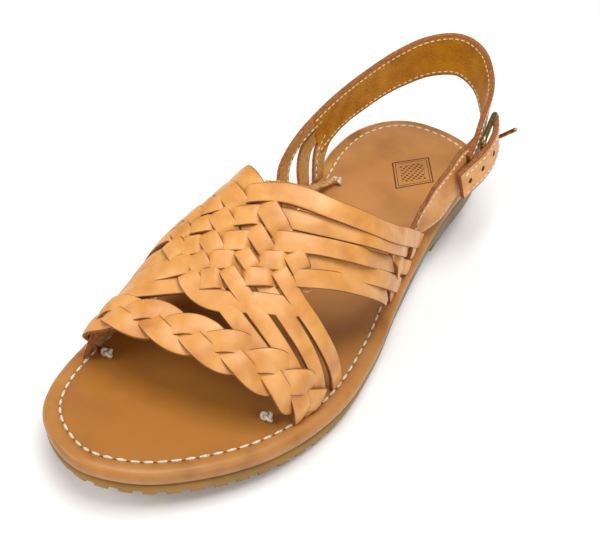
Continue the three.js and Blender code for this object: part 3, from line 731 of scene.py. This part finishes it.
def off_last(girth, station, height):
    """A point off the last by a height along its outward normal."""
    step = 0.7
    across = last_point(girth + step, station) - last_point(girth - step, station)
    along = last_point(girth, station + step) - last_point(girth, station - step)
    normal = np.cross(along, across)
    return last_point(girth, station) + normal / np.linalg.norm(normal) * height


def to_insole(route, past=1.2):
    """The part of a route over the last, down to just below the insole on each side."""
    kept = []
    for girth, station in route:
        row = last_rows[int(min(max(station - LAST_LOW, 0), len(last_rows) - 1))][0]
        if row[-1] - past < girth < row[0] + past:
            kept.append((girth, station))
    return np.array(kept)


def faces_outward(piece, inner, outer):
    """Turns a sheet's faces to the outside, which is where outer lies from inner."""
    middle = piece.data.polygons[len(piece.data.polygons) // 2]
    if middle.normal.dot(Vector(outer) - Vector(inner)) < 0:
        piece.data.flip_normals()


def thicken(piece, thickness, paints):
    """Gives a sheet its leather: a face, a flesh side and a cut edge with rounded corners."""
    for paint in paints:
        piece.data.materials.append(paint)
    modify(piece, "SOLIDIFY", thickness=thickness * MM, offset=0, use_even_offset=True,
           material_offset=1, material_offset_rim=2)
    modify(piece, "BEVEL", width=EDGE_ROUND * MM, segments=2, limit_method="ANGLE",
           angle_limit=math.radians(55))


def strap(name, route, width, lift, surface, thickness=STRAP_THICKNESS, across=7, crown=0.3,
          round_end=0, paints=None):
    """A strap on a surface: route is its middle line, t the share of its length, v that of its width."""
    route = np.array(route)
    count = len(route) - 1
    side = left_of(directions(route))
    length = np.linalg.norm(np.diff(route, axis=0), axis=1).sum()

    def place(a, b):
        """A corner of the strap, a along it and b across it."""
        i = min(int(round(a * count)), count)
        half = width(a) / 2
        if round_end:
            left = (1 - a) * length
            if left < round_end:
                half *= math.sqrt(max(1 - ((round_end - left) / round_end) ** 2, 0.02))
        offset = (b - 0.5) * 2 * half
        flat = route[i] + side[i] * offset
        height = lift(a, b) + crown * (1 - (2 * b - 1) ** 2)
        return surface(flat[0], flat[1], height)

    piece = laid_grid(name, count, across, place)
    for loop in piece.data.uv_layers.active.data:
        loop.uv.x *= length / STRAP_WIDTH
    middle = route[count // 2]
    faces_outward(piece, surface(middle[0], middle[1], 0), surface(middle[0], middle[1], 1))
    thicken(piece, thickness, paints or LEATHERS)
    bpy.ops.object.shade_smooth_by_angle(angle=math.radians(45))
    return piece


STRAP_COLOUR = (0.66, 0.285, 0.062, 1)
STRAP_LIGHT = (0.75, 0.37, 0.115, 1)
STRAP_DEEP = (0.47, 0.165, 0.03, 1)
# The strap's edge colour is partly its own dark burnish and partly painted shade of the gaps between straps;
# the holes' painted shade is mixed from it too.
STRAP_EDGE_AND_SHADE = (0.12, 0.03, 0.005, 1)
SUEDE = (0.34, 0.14, 0.035, 1)
SUEDE_PALE = (0.50, 0.25, 0.08, 1)
CUT_DARK = (0.20, 0.058, 0.01, 1)
CUT_PALE = (0.42, 0.16, 0.04, 1)


def strap_paint(name, colour, light, deep, edge, roughness=0.37, pores=2200, relief=0.3, gloss=0.5):
    """Leather strap finish: mottled tan, burnished where it is rubbed, and darker in a band along its cut
    edges, partly the edge's own dark burnish and partly painted shade of the gaps between straps.
    """
    paint, tree, shader = new_paint(name, Specular_IOR_Level=gloss)
    grain = add_grain(tree, pores)
    tone = blend(tree, colour, light, grain["Mottle"], 0.5, 0.72)
    tone = blend(tree, tone, deep, grain["Mottle"], 0.5, 0.28, 0.7)
    tone = blend(tree, tone, deep, grain["Fine"], 0.58, 0.8, 0.35)
    place = tree.nodes.new("ShaderNodeUVMap")
    split = tree.nodes.new("ShaderNodeSeparateXYZ")
    tree.links.new(place.outputs["UV"], split.inputs[0])
    edge_and_gap_shade_mask = maths(tree, "ABSOLUTE", maths(tree, "SUBTRACT", split.outputs["Y"], 0.5))
    # Painted shade: the band along each edge is darkened to stand partly for the shadow in the gaps between
    # straps, and partly for the edge's own dark burnish.
    tone = blend(tree, tone, edge, edge_and_gap_shade_mask, 0.44, 0.484, 0.9)
    tree.links.new(tone, shader.inputs["Base Color"])
    rough = ramp(tree, grain["Mottle"], 0.3, 0.75, roughness + 0.08, roughness - 0.08)
    tree.links.new(rough, shader.inputs["Roughness"])
    bump(tree, shader, grain["Height"], relief, 0.5 / pores)
    return paint


def fibre_paint(name, dark, pale, depth):
    """The flesh side or the raw cut edge of leather: matt, napped, with loose pale fibres."""
    paint, tree, shader = new_paint(name, Roughness=0.85)
    nap = noise(tree, 700, 5, rough=0.7)
    streaks = noise(tree, 260, 4, stretch=(1, 4, 4))
    tone = blend(tree, dark, pale, nap, 0.4, 0.68)
    tone = blend(tree, tone, dark, streaks, 0.5, 0.3, 0.5)
    tree.links.new(tone, shader.inputs["Base Color"])
    bump(tree, shader, nap, 0.6, depth)
    return paint


strap_leather = strap_paint("strap_leather", STRAP_COLOUR, STRAP_LIGHT, STRAP_DEEP, STRAP_EDGE_AND_SHADE)
strap_suede = fibre_paint("strap_suede", SUEDE, SUEDE_PALE, 0.0005)
strap_cut = fibre_paint("strap_cut_edge", CUT_DARK, CUT_PALE, 0.0003)
LEATHERS = (strap_leather, strap_suede, strap_cut)

# The station at which each sweep strap crosses a girth. The other routes are points (girth, station).
SWEEP_GIRTHS = [-70, -30, -10, 0, 10, 30, 50, 75, 98]
SWEEP_STATIONS = [
    [214, 198, 185, 176, 170, 162, 147.5, 121, 96],
    [221, 207, 196, 187.5, 180.5, 170, 154, 128, 104],
    [226, 216, 207.5, 200, 193, 180, 164, 139, 115],
    [230, 224, 216.5, 209.5, 202.5, 188.5, 172, 149, 127],
    [235, 231, 224, 217.5, 211, 196.5, 178.5, 156.5, 139],
]
# Widths in the weave and past it.
SWEEP_WIDTHS = [(8.4, 7.6), (8.1, 7.3), (8.7, 6.8), (8.1, 6.9), (7.7, 6.6)]
CROSS_ROUTES = [
    [(-86, 140), (-40, 155), (-20, 165), (0, 174), (10, 178), (22, 182.5), (44, 190)],
    [(-84, 148), (-30, 170), (-8, 179), (0, 182.3), (20, 190), (40, 196), (60, 196.5), (80, 193.5),
     (98, 190)],
    [(-81, 157), (-30, 178), (-9, 186.5), (0, 190.5), (20, 198.3), (40, 203.3), (60, 204.8), (90, 204)],
    [(-79, 166), (-30, 184.5), (-10, 193.5), (0, 198.7), (20, 207), (40, 211.5), (60, 213.2), (80, 213)],
    [(-77, 174), (-30, 191.5), (-10, 201.5), (0, 206.8), (20, 214.5), (40, 218.5), (60, 219.5)],
    [(-75, 182), (-30, 198), (-10, 207), (-1, 211.5), (5, 215), (12, 216.5), (20, 214.5), (32, 207),
     (46, 197.5)],
]
# Two straps that run down the outer side through the ends of the sweep straps.
GATHER_ROUTES = [
    [(63, 135.5), (70, 134.5), (78, 133.5), (86, 133), (100, 133)],
    [(81, 107), (88, 110.5), (94, 114), (104, 120)],
]
CROSS_WIDTHS = [(8.4, 7.9), (8.2, 6.8), (8.0, 6.4), (8.0, 6.2), (8.0, 6.3), (8.0, 7.6)]
GATHER_WIDTHS = [(8.6, 8.6), (8.6, 8.6)]
LOWEST_SWEEP_END = 85
sweeps = [to_insole(smooth_route(list(zip(SWEEP_GIRTHS, row)), 1.0)) for row in SWEEP_STATIONS]
sweeps[-1] = sweeps[-1][sweeps[-1][:, 0] < LOWEST_SWEEP_END]
crosses = [to_insole(smooth_route(row, 1.0)) for row in CROSS_ROUTES + GATHER_ROUTES]
# How far a strap rises or sinks at a crossing, how near two routes come there, and the length over
# which a strap settles past its last one.
OVER = 1.12
MEETING = 1.5
SETTLE = 14
# Girths between which the straps go from their width in the weave to the one past it.
SWEEP_NARROWS = (18, 36)
CROSS_NARROWS = (-2, 14)


def crossing(first, second):
    """Where two routes cross: the share of each one's length, or None."""
    gaps = np.linalg.norm(first[:, None, :] - second[None, :, :], axis=2)
    i, j = np.unravel_index(gaps.argmin(), gaps.shape)
    if gaps[i, j] > MEETING:
        return None
    return i / (len(first) - 1), j / (len(second) - 1)


def lift_through(marks, length):
    """Height along a strap that holds each mark's height near it and steps between them."""
    marks = sorted(marks)
    if not marks:
        return lambda t, v: 0.0
    shares = [m[0] for m in marks]

    def lift(t, v):
        """Height at t along the strap, which settles to none past its first and last marks."""
        if t <= shares[0]:
            return marks[0][1] * float(1 - ease((shares[0] - t) * length / SETTLE))
        if t >= shares[-1]:
            return marks[-1][1] * float(1 - ease((t - shares[-1]) * length / SETTLE))
        i = max(k for k in range(len(shares)) if shares[k] <= t)
        u = (t - shares[i]) / max(shares[i + 1] - shares[i], 1e-6)
        u = float(ease((u - 0.34) / 0.32))
        return marks[i][1] * (1 - u) + marks[i + 1][1] * u

    return lift


def girth_at(route, t):
    """Girth of a route at the share t of its length."""
    return route[int(round(t * (len(route) - 1)))][0]


def two_widths(route, first, second, low, high):
    """Width along a route: one width up to a girth, easing to another past a second girth."""
    return lambda t: first + (second - first) * float(ease((girth_at(route, t) - low) / (high - low)))


# The straps that pass over at each crossing alternate, as in a plain weave.
sweep_marks = [[] for _ in sweeps]
cross_marks = [[] for _ in crosses]
for i, sweep in enumerate(sweeps):
    for j, cross in enumerate(crosses):
        met = crossing(sweep, cross)
        if met:
            gathering = j >= len(CROSS_ROUTES)
            sweep_over = (i + j) % 2 == (1 if gathering else 0)
            over = OVER if sweep_over or (i == 0 and gathering) else -OVER
            sweep_marks[i].append((met[0], over))
            cross_marks[j].append((met[1], -over))

# Past the weave a strap's front edge is raised onto the next strap, between these girths.
SHINGLE = 1.5
SHINGLE_FROM, SHINGLE_FULL = 34, 56
SHINGLE_FALL, SHINGLE_END = 84, 94


def shingled(woven, route, reach):
    """The weave's height, and past it the front edge raised to lie on the next strap."""
    def lift(t, v):
        """Height at t along the strap and v across it."""
        girth = reach(girth_at(route, t))
        raised = ease((girth - SHINGLE_FROM) / (SHINGLE_FULL - SHINGLE_FROM))
        raised *= 1 - ease((girth - SHINGLE_FALL) / (SHINGLE_END - SHINGLE_FALL))
        return woven(t, v) + SHINGLE * (v - 0.5) * float(raised)

    return lift


for i, sweep in enumerate(sweeps):
    piece = strap(f"sweep_strap_{i + 1}", sweep, two_widths(sweep, *SWEEP_WIDTHS[i], *SWEEP_NARROWS),
                  shingled(lift_through(sweep_marks[i], len(sweep)), sweep, abs),
                  off_last, round_end=2.5 if i == 4 else 0)
    finish(piece, None, "strap_leather", *(["vamp"] if i == 0 else []))
for j, cross in enumerate(crosses):
    widths = (CROSS_WIDTHS + GATHER_WIDTHS)[j]
    piece = strap(f"cross_strap_{j + 1}", cross, two_widths(cross, *widths, *CROSS_NARROWS),
                  shingled(lift_through(cross_marks[j], len(cross)), cross, lambda girth: -girth),
                  off_last, round_end=4 if j in (0, 5) else 0)
    finish(piece, None, "strap_leather")

# ------------------------------------------------------------------ braided toe strap
# Three of the same straps plaited flat across the toes, pulled down through the insole at the inner
# side and fanned out to the outer side.

BRAID_ROUTE = [
    (-66, 237), (-45, 239), (-30, 239), (-14, 237.5), (0, 234.5), (20, 230.5), (40, 225), (60, 218),
    (84, 209),
]
BRAID_PERIOD = 52.0
BRAID_START = 0.6
BRAID_SWING = 4.4
BRAID_LIFT = 1.35
BRAID_HEIGHT = 0.6
BRAID_WIDTH = 8.2
STRANDS = 3
braid_line = to_insole(smooth_route(BRAID_ROUTE, 1.0), 3)
braid_side = left_of(directions(braid_line))
braid_shares = np.linspace(0, 1, len(braid_line))

for k in range(STRANDS):
    angle = np.arange(len(braid_line)) / BRAID_PERIOD * 2 * math.pi + k * 2 * math.pi / STRANDS + BRAID_START
    strand = braid_line + braid_side * (BRAID_SWING * np.sin(angle))[:, None]
    heights = BRAID_LIFT * np.sin(2 * angle) + BRAID_HEIGHT
    piece = strap(f"braid_strand_{k + 1}", strand, lambda t: BRAID_WIDTH,
                  lambda t, v, h=heights: float(np.interp(t, braid_shares, h)), off_last, crown=0.5)
    finish(piece, None, "strap_leather")

# ------------------------------------------------------------------ heel strap
# A band of the same leather lined with mustard pigskin and sewn along both edges. At the inner side it
# is slit into three tails; at the outer side its narrower free end comes out through the buckle.

# The middle of the band, from the inner side round to the buckle: x, station and height.
HEEL_ROWS = [
    (-37, 128, 40), (-38.5, 106, 40), (-38.5, 84, 44), (-37.6, 66, 48), (-35.6, 44, 51), (-29, 21, 56.6),
    (-17, 6.5, 63.4), (-3, 2, 67.4), (10, 6, 66.4), (21, 17, 63.2), (28.5, 30, 59.8), (33.5, 43, 56),
    (37, 57, 50.5), (39.8, 76, 44),
]
heel_plan = smooth_route([(x, station) for x, station, _ in HEEL_ROWS], 1.0)
heel_lengths = lengths_along(heel_plan)
TAIL_LEAN = 7.0
BAND_LEAN = 0.15
BAND_LEAN_FROM = 52.0


def plan_length(plan, x, station):
    """Length along a strap's plan at the place nearest to a point."""
    gaps = np.hypot(plan[:, 0] - x, plan[:, 1] - station)
    return lengths_along(plan)[gaps.argmin()]


def plan_point(plan, lengths, length):
    """Place (x, station) on a strap's plan at a length along it."""
    return np.array([np.interp(length, lengths, plan[:, k]) for k in range(2)])


def heel_sheet(length, z, away):
    """A point on the upright sheet over the plan, away from it towards the outside."""
    x, station = plan_point(heel_plan, heel_lengths, length)
    near = min(max(length, 1), heel_lengths[-1] - 1)
    chord = plan_point(heel_plan, heel_lengths, near + 1) - plan_point(heel_plan, heel_lengths, near - 1)
    along = chord / max(np.linalg.norm(chord), 1e-6)
    over = max(length - heel_lengths[-1], 0)
    x, station = x + along[0] * over, station + along[1] * over
    lean = -TAIL_LEAN * (ease((station - 50) / 30) if x < 0 else 0) * (1 - ease((z - 20) / 24))
    lean += BAND_LEAN * (BAND_LEAN_FROM - z) * (ease((station - 25) / 25) if x > 0 else 0)
    outward = np.array((along[1], -along[0]))
    x, station = (x, station) + outward * (away + lean)
    return x, y_of(station), z


HEEL_WIDTH = 23.6
LINING_TRIM = 0.7
OUTER_THICKNESS = 1.4
LINING_THICKNESS = 1.0
OUTER_AWAY = 0.6
LINING_AWAY = -0.6
BUCKLE_SIDE = (38.2, 65, 48)

PIGSKIN = (0.50, 0.205, 0.008, 1)
PIGSKIN_LIGHT = (0.60, 0.27, 0.014, 1)
PIGSKIN_DEEP = (0.33, 0.12, 0.005, 1)
PIGSKIN_EDGE = (0.34, 0.11, 0.012, 1)

band = smooth_route([(plan_length(heel_plan, x, station), z)
                     for x, station, z in HEEL_ROWS[2:-1] + [BUCKLE_SIDE]], 1.5)
lining_leather = strap_paint("lining_pigskin", PIGSKIN, PIGSKIN_LIGHT, PIGSKIN_DEEP, PIGSKIN_EDGE,
                             roughness=0.55, pores=750, relief=0.9, gloss=0.2)

outer_band = strap("heel_strap_outer", band, lambda t: HEEL_WIDTH, lambda t, v: OUTER_AWAY, heel_sheet,
                   thickness=OUTER_THICKNESS, across=12, crown=0)
finish(outer_band, None, "strap_leather", "heel_strap")
lining_band = strap("heel_strap_lining", band, lambda t: HEEL_WIDTH - LINING_TRIM,
                    lambda t, v: LINING_AWAY, heel_sheet, thickness=LINING_THICKNESS, across=12, crown=0,
                    paints=(lining_leather, lining_leather, strap_cut))
finish(lining_band, None, "strap_leather")

TAIL_WIDTH = 8.2
TAIL_X = -38.5
TAIL_FLESH = (0.40, 0.185, 0.04, 1)
TAIL_NAP = (0.62, 0.33, 0.10, 1)
# The tails' middle lines: station and height.
TAIL_ROUTES = [
    [(80, 53), (93, 50), (105, 44.5), (113, 37), (117, 28), (118.5, 18.5)],
    [(80, 44.5), (91, 40), (98, 31), (101, 19.8)],
    [(74, 38.5), (82, 33), (86.5, 27), (88.5, 20.8)],
]
tail_suede = fibre_paint("tail_suede", TAIL_FLESH, TAIL_NAP, 0.0004)
tail_lines = []
for i, rows in enumerate(TAIL_ROUTES):
    line = smooth_route([(plan_length(heel_plan, TAIL_X, station), z) for station, z in rows], 1.0)
    tail = strap(f"heel_strap_tail_{i + 1}", line, lambda t: TAIL_WIDTH, lambda t, v: 0.0, heel_sheet,
                 crown=0.2, paints=(strap_leather, tail_suede, strap_cut))
    finish(tail, None, "strap_leather")
    tail_lines.append(line)


STITCH_PITCH = 3.4
STITCH_LENGTH = 2.5
FINE_THREAD = 0.75


def band_stitches(name, line, offset, away, surface):
    """A row of fine stitches along a strap, at an offset from its middle line."""
    line = np.array(line)
    run = line + left_of(directions(line)) * offset
    lengths = lengths_along(run)
    spans = []
    for i in range(int(lengths[-1] / STITCH_PITCH)):
        start = i * STITCH_PITCH + 0.3
        spans.append([tuple(surface(*plan_point(run, lengths, at), away))
                      for at in (start, start + STITCH_LENGTH)])
    stitch_row(name, spans, FINE_THREAD)


BAND_MARGIN = 2.4
TAIL_MARGIN = 1.5
for label, away in (("outer", OUTER_AWAY + 0.75), ("lining", LINING_AWAY - 0.55)):
    for edge, side in (("upper", 1), ("lower", -1)):
        band_stitches(f"heel_stitches_{label}_{edge}", band, side * (HEEL_WIDTH / 2 - BAND_MARGIN), away,
                      heel_sheet)

for i, side in ((0, 1), (2, -1)):
    band_stitches(f"tail_stitches_{i + 1}", tail_lines[i], side * (TAIL_WIDTH / 2 - TAIL_MARGIN), -1.0,
                  heel_sheet)

# The free end comes out through the frame, lies over its front bar and ends in a straight cut.
FREE_ROWS = [
    (37.4, 34, 57.5), (41.4, 42, 56), (43.4, 51, 54), (43.2, 61, 51.5), (41.6, 70, 49.5), (40, 77.5, 47.5),
]
FREE_WIDTH = 14.5
FREE_THICKNESS = 2.6
FREE_MARGIN = 2.2
FREE_SLANT = 0.22
free_plan = smooth_route([(x, station) for x, station, _ in FREE_ROWS], 1.0)
free_lengths = lengths_along(free_plan)


def free_sheet(length, z, away):
    """A point of the free end's upright sheet, which leans out towards its lower edge."""
    near = min(max(length, 1), free_lengths[-1] - 1)
    place = plan_point(free_plan, free_lengths, near)
    along = plan_point(free_plan, free_lengths, near + 1) - place
    along /= np.linalg.norm(along)
    place = place + along * (length - near)
    x, station = place + np.array((along[1], -along[0])) * (away + FREE_SLANT * (BAND_LEAN_FROM - z))
    return x, y_of(station), z


free_line = smooth_route([(plan_length(free_plan, x, station), z) for x, station, z in FREE_ROWS], 1.0)
free_end = strap("heel_strap_free_end", free_line, lambda t: FREE_WIDTH, lambda t, v: 0.0, free_sheet,
                 thickness=FREE_THICKNESS, across=10, crown=0,
                 paints=(strap_leather, lining_leather, strap_cut))
finish(free_end, None, "strap_leather")
for edge, side in (("upper", 1), ("lower", -1)):
    band_stitches(f"free_end_stitches_{edge}", free_line, side * (FREE_WIDTH / 2 - FREE_MARGIN), 1.5,
                  free_sheet)

# The punched holes are dark discs laid just off the free end's face: painted shade standing for the shadow
# inside each hole, not cuts through the leather.
HOLE_SHADE_COLOUR = (0.035, 0.014, 0.006, 1)
HOLE_RADIUS = 1.35
HOLE_AWAY = 1.34
HOLE_DOME = 0.12
HOLE_SHARES = (0.42, 0.66, 0.88)
hole_shade_paint, tree, shader = new_paint("punched_hole_shade", Roughness=0.9)
tree.links.new(mix_colours(tree, noise(tree, 900, 3), HOLE_SHADE_COLOUR, STRAP_EDGE_AND_SHADE), shader.inputs["Base Color"])
for k, share in enumerate(HOLE_SHARES):
    centre = free_line[int(share * (len(free_line) - 1))]

    def hole_place(a, b):
        """A corner of the hole's disc of painted shade, a round it and b out from its middle."""
        angle = 2 * math.pi * a
        radius = HOLE_RADIUS * b
        return free_sheet(centre[0] + radius * math.cos(angle), centre[1] + radius * math.sin(angle),
                          HOLE_AWAY + HOLE_DOME * (1 - b ** 4))

    hole = laid_grid(f"strap_hole_shade_{k + 1}", 20, 5, hole_place, closed_along=True)
    faces_outward(hole, free_sheet(*centre, 0), free_sheet(*centre, 1))
    finish(hole, hole_shade_paint, "strap_leather")

# ------------------------------------------------------------------ quarter strap
# A lined strap that comes up from the insole's outer edge between the ends of the sweep straps and
# runs back to the buckle's hinged bar.


def wall_point(station, z):
    """A point of the last's lateral wall at a station and a height above the ground."""
    lateral, medial, ridge, height, base = last_measures(station)
    rise = min(max((z - base) / height, 0), 0.98) ** (LATERAL_SQUARENESS / 2)
    x = ridge + (lateral - ridge) * math.sqrt(1 - rise * rise) ** (2 / LATERAL_SQUARENESS)
    return np.array((x, y_of(station), z))


def off_wall(station, z, height):
    """A point off the last's lateral wall by a height along its outward normal."""
    step = 0.7
    up = wall_point(station, z + step) - wall_point(station, z - step)
    along = wall_point(station + step, z) - wall_point(station - step, z)
    normal = np.cross(up, along)
    return wall_point(station, z) + normal / np.linalg.norm(normal) * height


# The strap's upper and lower edges: station and height.
QUARTER_UPPER = [
    (45.6, 58), (51, 58.5), (62, 61), (72, 62), (81.5, 56.7), (90, 49.5), (96, 39.5), (101.5, 34), (107, 28),
]
QUARTER_LOWER = [
    (44.6, 42), (52, 41), (62, 41), (70, 40.5), (76, 37), (81, 31.5), (86, 26.5), (90, 24), (95, 21),
]
QUARTER_AWAY = -1.6
QUARTER_TUCK = 1.4
QUARTER_THICKNESS = 2.2
quarter_upper = smooth_route(QUARTER_UPPER, 0.5)
quarter_lower = smooth_route(QUARTER_LOWER, 0.5)


def quarter_point(a, b, height):
    """A point of the quarter strap, a along it and b across it, raised off its outer face."""
    upper, lower = (edge[min(int(round(a * (len(edge) - 1))), len(edge) - 1)]
                    for edge in (quarter_upper, quarter_lower))
    station, z = upper * (1 - b) + lower * b
    return off_wall(station, z, QUARTER_AWAY - QUARTER_TUCK * float(ease((a - 0.72) / 0.2)) + height)


quarter = laid_grid("quarter_strap_leather", 90, 14, lambda a, b: quarter_point(a, b, 0))
faces_outward(quarter, quarter_point(0.5, 0.5, 0), quarter_point(0.5, 0.5, 1))
thicken(quarter, QUARTER_THICKNESS, (strap_leather, lining_leather, strap_cut))
finish(quarter, None, "strap_leather", "quarter_strap")

QUARTER_STITCH_STARTS = np.arange(0.02, 0.9, 0.036)
for label, share in (("upper", 0.11), ("lower", 0.89)):
    spans = [[tuple(quarter_point(at, share, 1.15)) for at in (start, start + 0.027)]
             for start in QUARTER_STITCH_STARTS]
    stitch_row(f"quarter_stitches_{label}", spans, FINE_THREAD)

# ------------------------------------------------------------------ medial lace
# A thong that ties the vamp's inner side back to the insole, its end knotted with thread.

LACE_ROWS = [
    (-30.4, 136, 47), (-31.2, 121, 37.5), (-30.2, 110, 29), (-28, 101, 24.6), (-25.4, 92, 23.2),
    (-23.2, 84.5, 23),
]
LACE_WIDTH = 5
LACE_SWELL = 2.2
LACE_TAPER = 3
LACE_THICKNESS = 1.7
LACE_DARK = (0.42, 0.19, 0.05, 1)
LACE_PALE = (0.80, 0.50, 0.22, 1)
lace_line = smooth_route(LACE_ROWS, 0.8)


def lace_place(a, b):
    """The thong hangs on its edge behind the vamp and turns flat to lie on the insole."""
    x, station, z = lace_line[min(int(round(a * (len(lace_line) - 1))), len(lace_line) - 1)]
    lie = float(ease((a - 0.35) / 0.35))
    width = LACE_WIDTH + LACE_SWELL * float(ease((a - 0.4) / 0.2))
    width -= LACE_TAPER * float(ease((a - 0.65) / 0.35))
    half = (b - 0.5) * width
    ragged = 0.25 * math.sin(a * 47) + 0.18 * math.sin(a * 91 + b * 5)
    angle = math.radians(78 * (1 - lie) + 12)
    return (x + half * math.cos(angle) * 0.85 + ragged * (b - 0.5),
            y_of(station) + half * math.cos(angle) * 0.4,
            z + half * math.sin(angle) + 0.5 * lie + 0.2 * math.sin(a * 33))


lace = laid_grid("lace_thong", len(lace_line) - 1, 8, lace_place)
lace_fibre = fibre_paint("lace_fibre", LACE_DARK, LACE_PALE, 0.0007)
modify(lace, "SOLIDIFY", thickness=LACE_THICKNESS * MM, offset=0)
modify(lace, "BEVEL", width=0.4 * MM, segments=2, limit_method="ANGLE", angle_limit=math.radians(55))
finish(lace, lace_fibre, "strap_leather", "medial_lace")

# ------------------------------------------------------------------ buckle
# A plain rectangular frame of drawn brass wire, bent round at its corners, with a straight prong
# hinged on the rear bar. It is fastened, and stays so.

BRASS_COLOUR = (0.42, 0.31, 0.10, 1)
BRASS_DULL = (0.18, 0.12, 0.04, 1)
BUCKLE_CORNERS = [(34.6, 35.5, 65.5), (39.3, 57, 61.5), (43.2, 54, 41.8), (38.5, 32.5, 45.8)]
BUCKLE_ROUND = 0.16
WIRE = 2.8
PRONG_RADIUS = 1.05
PRONG_ROUND = 0.08
PRONG_ROUTE = [(39.4, 34.9, 52.3), (41, 35.3, 54.2), (44, 36.1, 57.8), (47.6, 37, 62)]

brass, tree, shader = new_paint("brass_wire", Metallic=1.0)
tarnish = noise(tree, 250, 4)
tree.links.new(blend(tree, BRASS_COLOUR, BRASS_DULL, tarnish, 0.4, 0.65), shader.inputs["Base Color"])
tree.links.new(ramp(tree, tarnish, 0.35, 0.7, 0.2, 0.42), shader.inputs["Roughness"])


def tube(name, line, radius, around=14, closed=False):
    """A round wire or thread along a line of (x, station, height) points: radius(t) gives its size."""
    line = np.array([(x, y_of(station), z) for x, station, z in line])
    count = len(line)
    along = directions(line)
    if closed:
        along = np.roll(line, -1, axis=0) - np.roll(line, 1, axis=0)
        along /= np.linalg.norm(along, axis=1)[:, None]
    sides = [np.cross(along[0], (0.3, 0.2, 0.93))]
    for i in range(1, count):
        sides.append(sides[-1] - along[i] * (sides[-1] @ along[i]))
        sides[-1] /= np.linalg.norm(sides[-1])

    def place(a, b):
        """A corner of the tube, a along it and b round it."""
        i = int(round(a * (count if closed else count - 1))) % count
        angle = 2 * math.pi * b
        side = sides[i] / np.linalg.norm(sides[i])
        over = np.cross(along[i], side)
        return line[i] + (side * math.cos(angle) + over * math.sin(angle)) * radius(a)

    piece = laid_grid(name, count if closed else count - 1, around, place, closed_along=closed,
                      closed_across=True)
    bpy.ops.object.shade_smooth()
    return piece


corners = np.array(BUCKLE_CORNERS, float)
frame_line = []
for i in range(4):
    before, corner, after = corners[i - 1], corners[i], corners[(i + 1) % 4]
    for t in np.linspace(0, 1, 7):
        entry = corner + (before - corner) * BUCKLE_ROUND
        leave = corner + (after - corner) * BUCKLE_ROUND
        frame_line.append(entry * (1 - t) ** 2 + corner * 2 * t * (1 - t) + leave * t ** 2)
buckle = tube("buckle_wire", smooth_route(frame_line, 0.9, closed=True)[:-1], lambda t: WIRE / 2, closed=True)
finish(buckle, brass, "metal", "buckle_frame")


def prong_radius(t):
    """The prong's radius at t along it, rounded off at both ends."""
    past = max(abs(t - 0.5) - (0.5 - PRONG_ROUND), 0)
    return PRONG_RADIUS * math.sqrt(max(1 - past ** 2 / 0.0065, 0.0004))


prong = tube("buckle_pin", smooth_route(PRONG_ROUTE, 0.25), prong_radius)
finish(prong, brass, "metal", "buckle_prong")

# ------------------------------------------------------------------ thread knots
# Where the sewing starts and ends, the waxed thread is tied off in a small fat knot on the insole.

KNOT_PLACES = [(-33.5, 240), (37, 224.5), (-22.5, 83)]
KNOT_WIDTH = 0.78
KNOT_LENGTH = 0.6
KNOT_RISE = 0.75
KNOT_HEIGHT = 1.5
KNOT_THREAD = 0.82
for k, (x, station) in enumerate(KNOT_PLACES):
    knot_line = []
    for turn in np.linspace(0, 2 * math.pi, 49)[:-1]:
        knot_line.append((x + KNOT_WIDTH * (math.sin(turn) + 2 * math.sin(2 * turn)),
                          station + KNOT_LENGTH * (math.cos(turn) - 2 * math.cos(2 * turn)),
                          footbed(station) + KNOT_HEIGHT - KNOT_RISE * math.sin(3 * turn)))
    knot = tube(f"thread_tie_{k + 1}", knot_line, lambda t: KNOT_THREAD, around=8, closed=True)
    finish(knot, thread, "thread", f"thread_knot_{k + 1}")

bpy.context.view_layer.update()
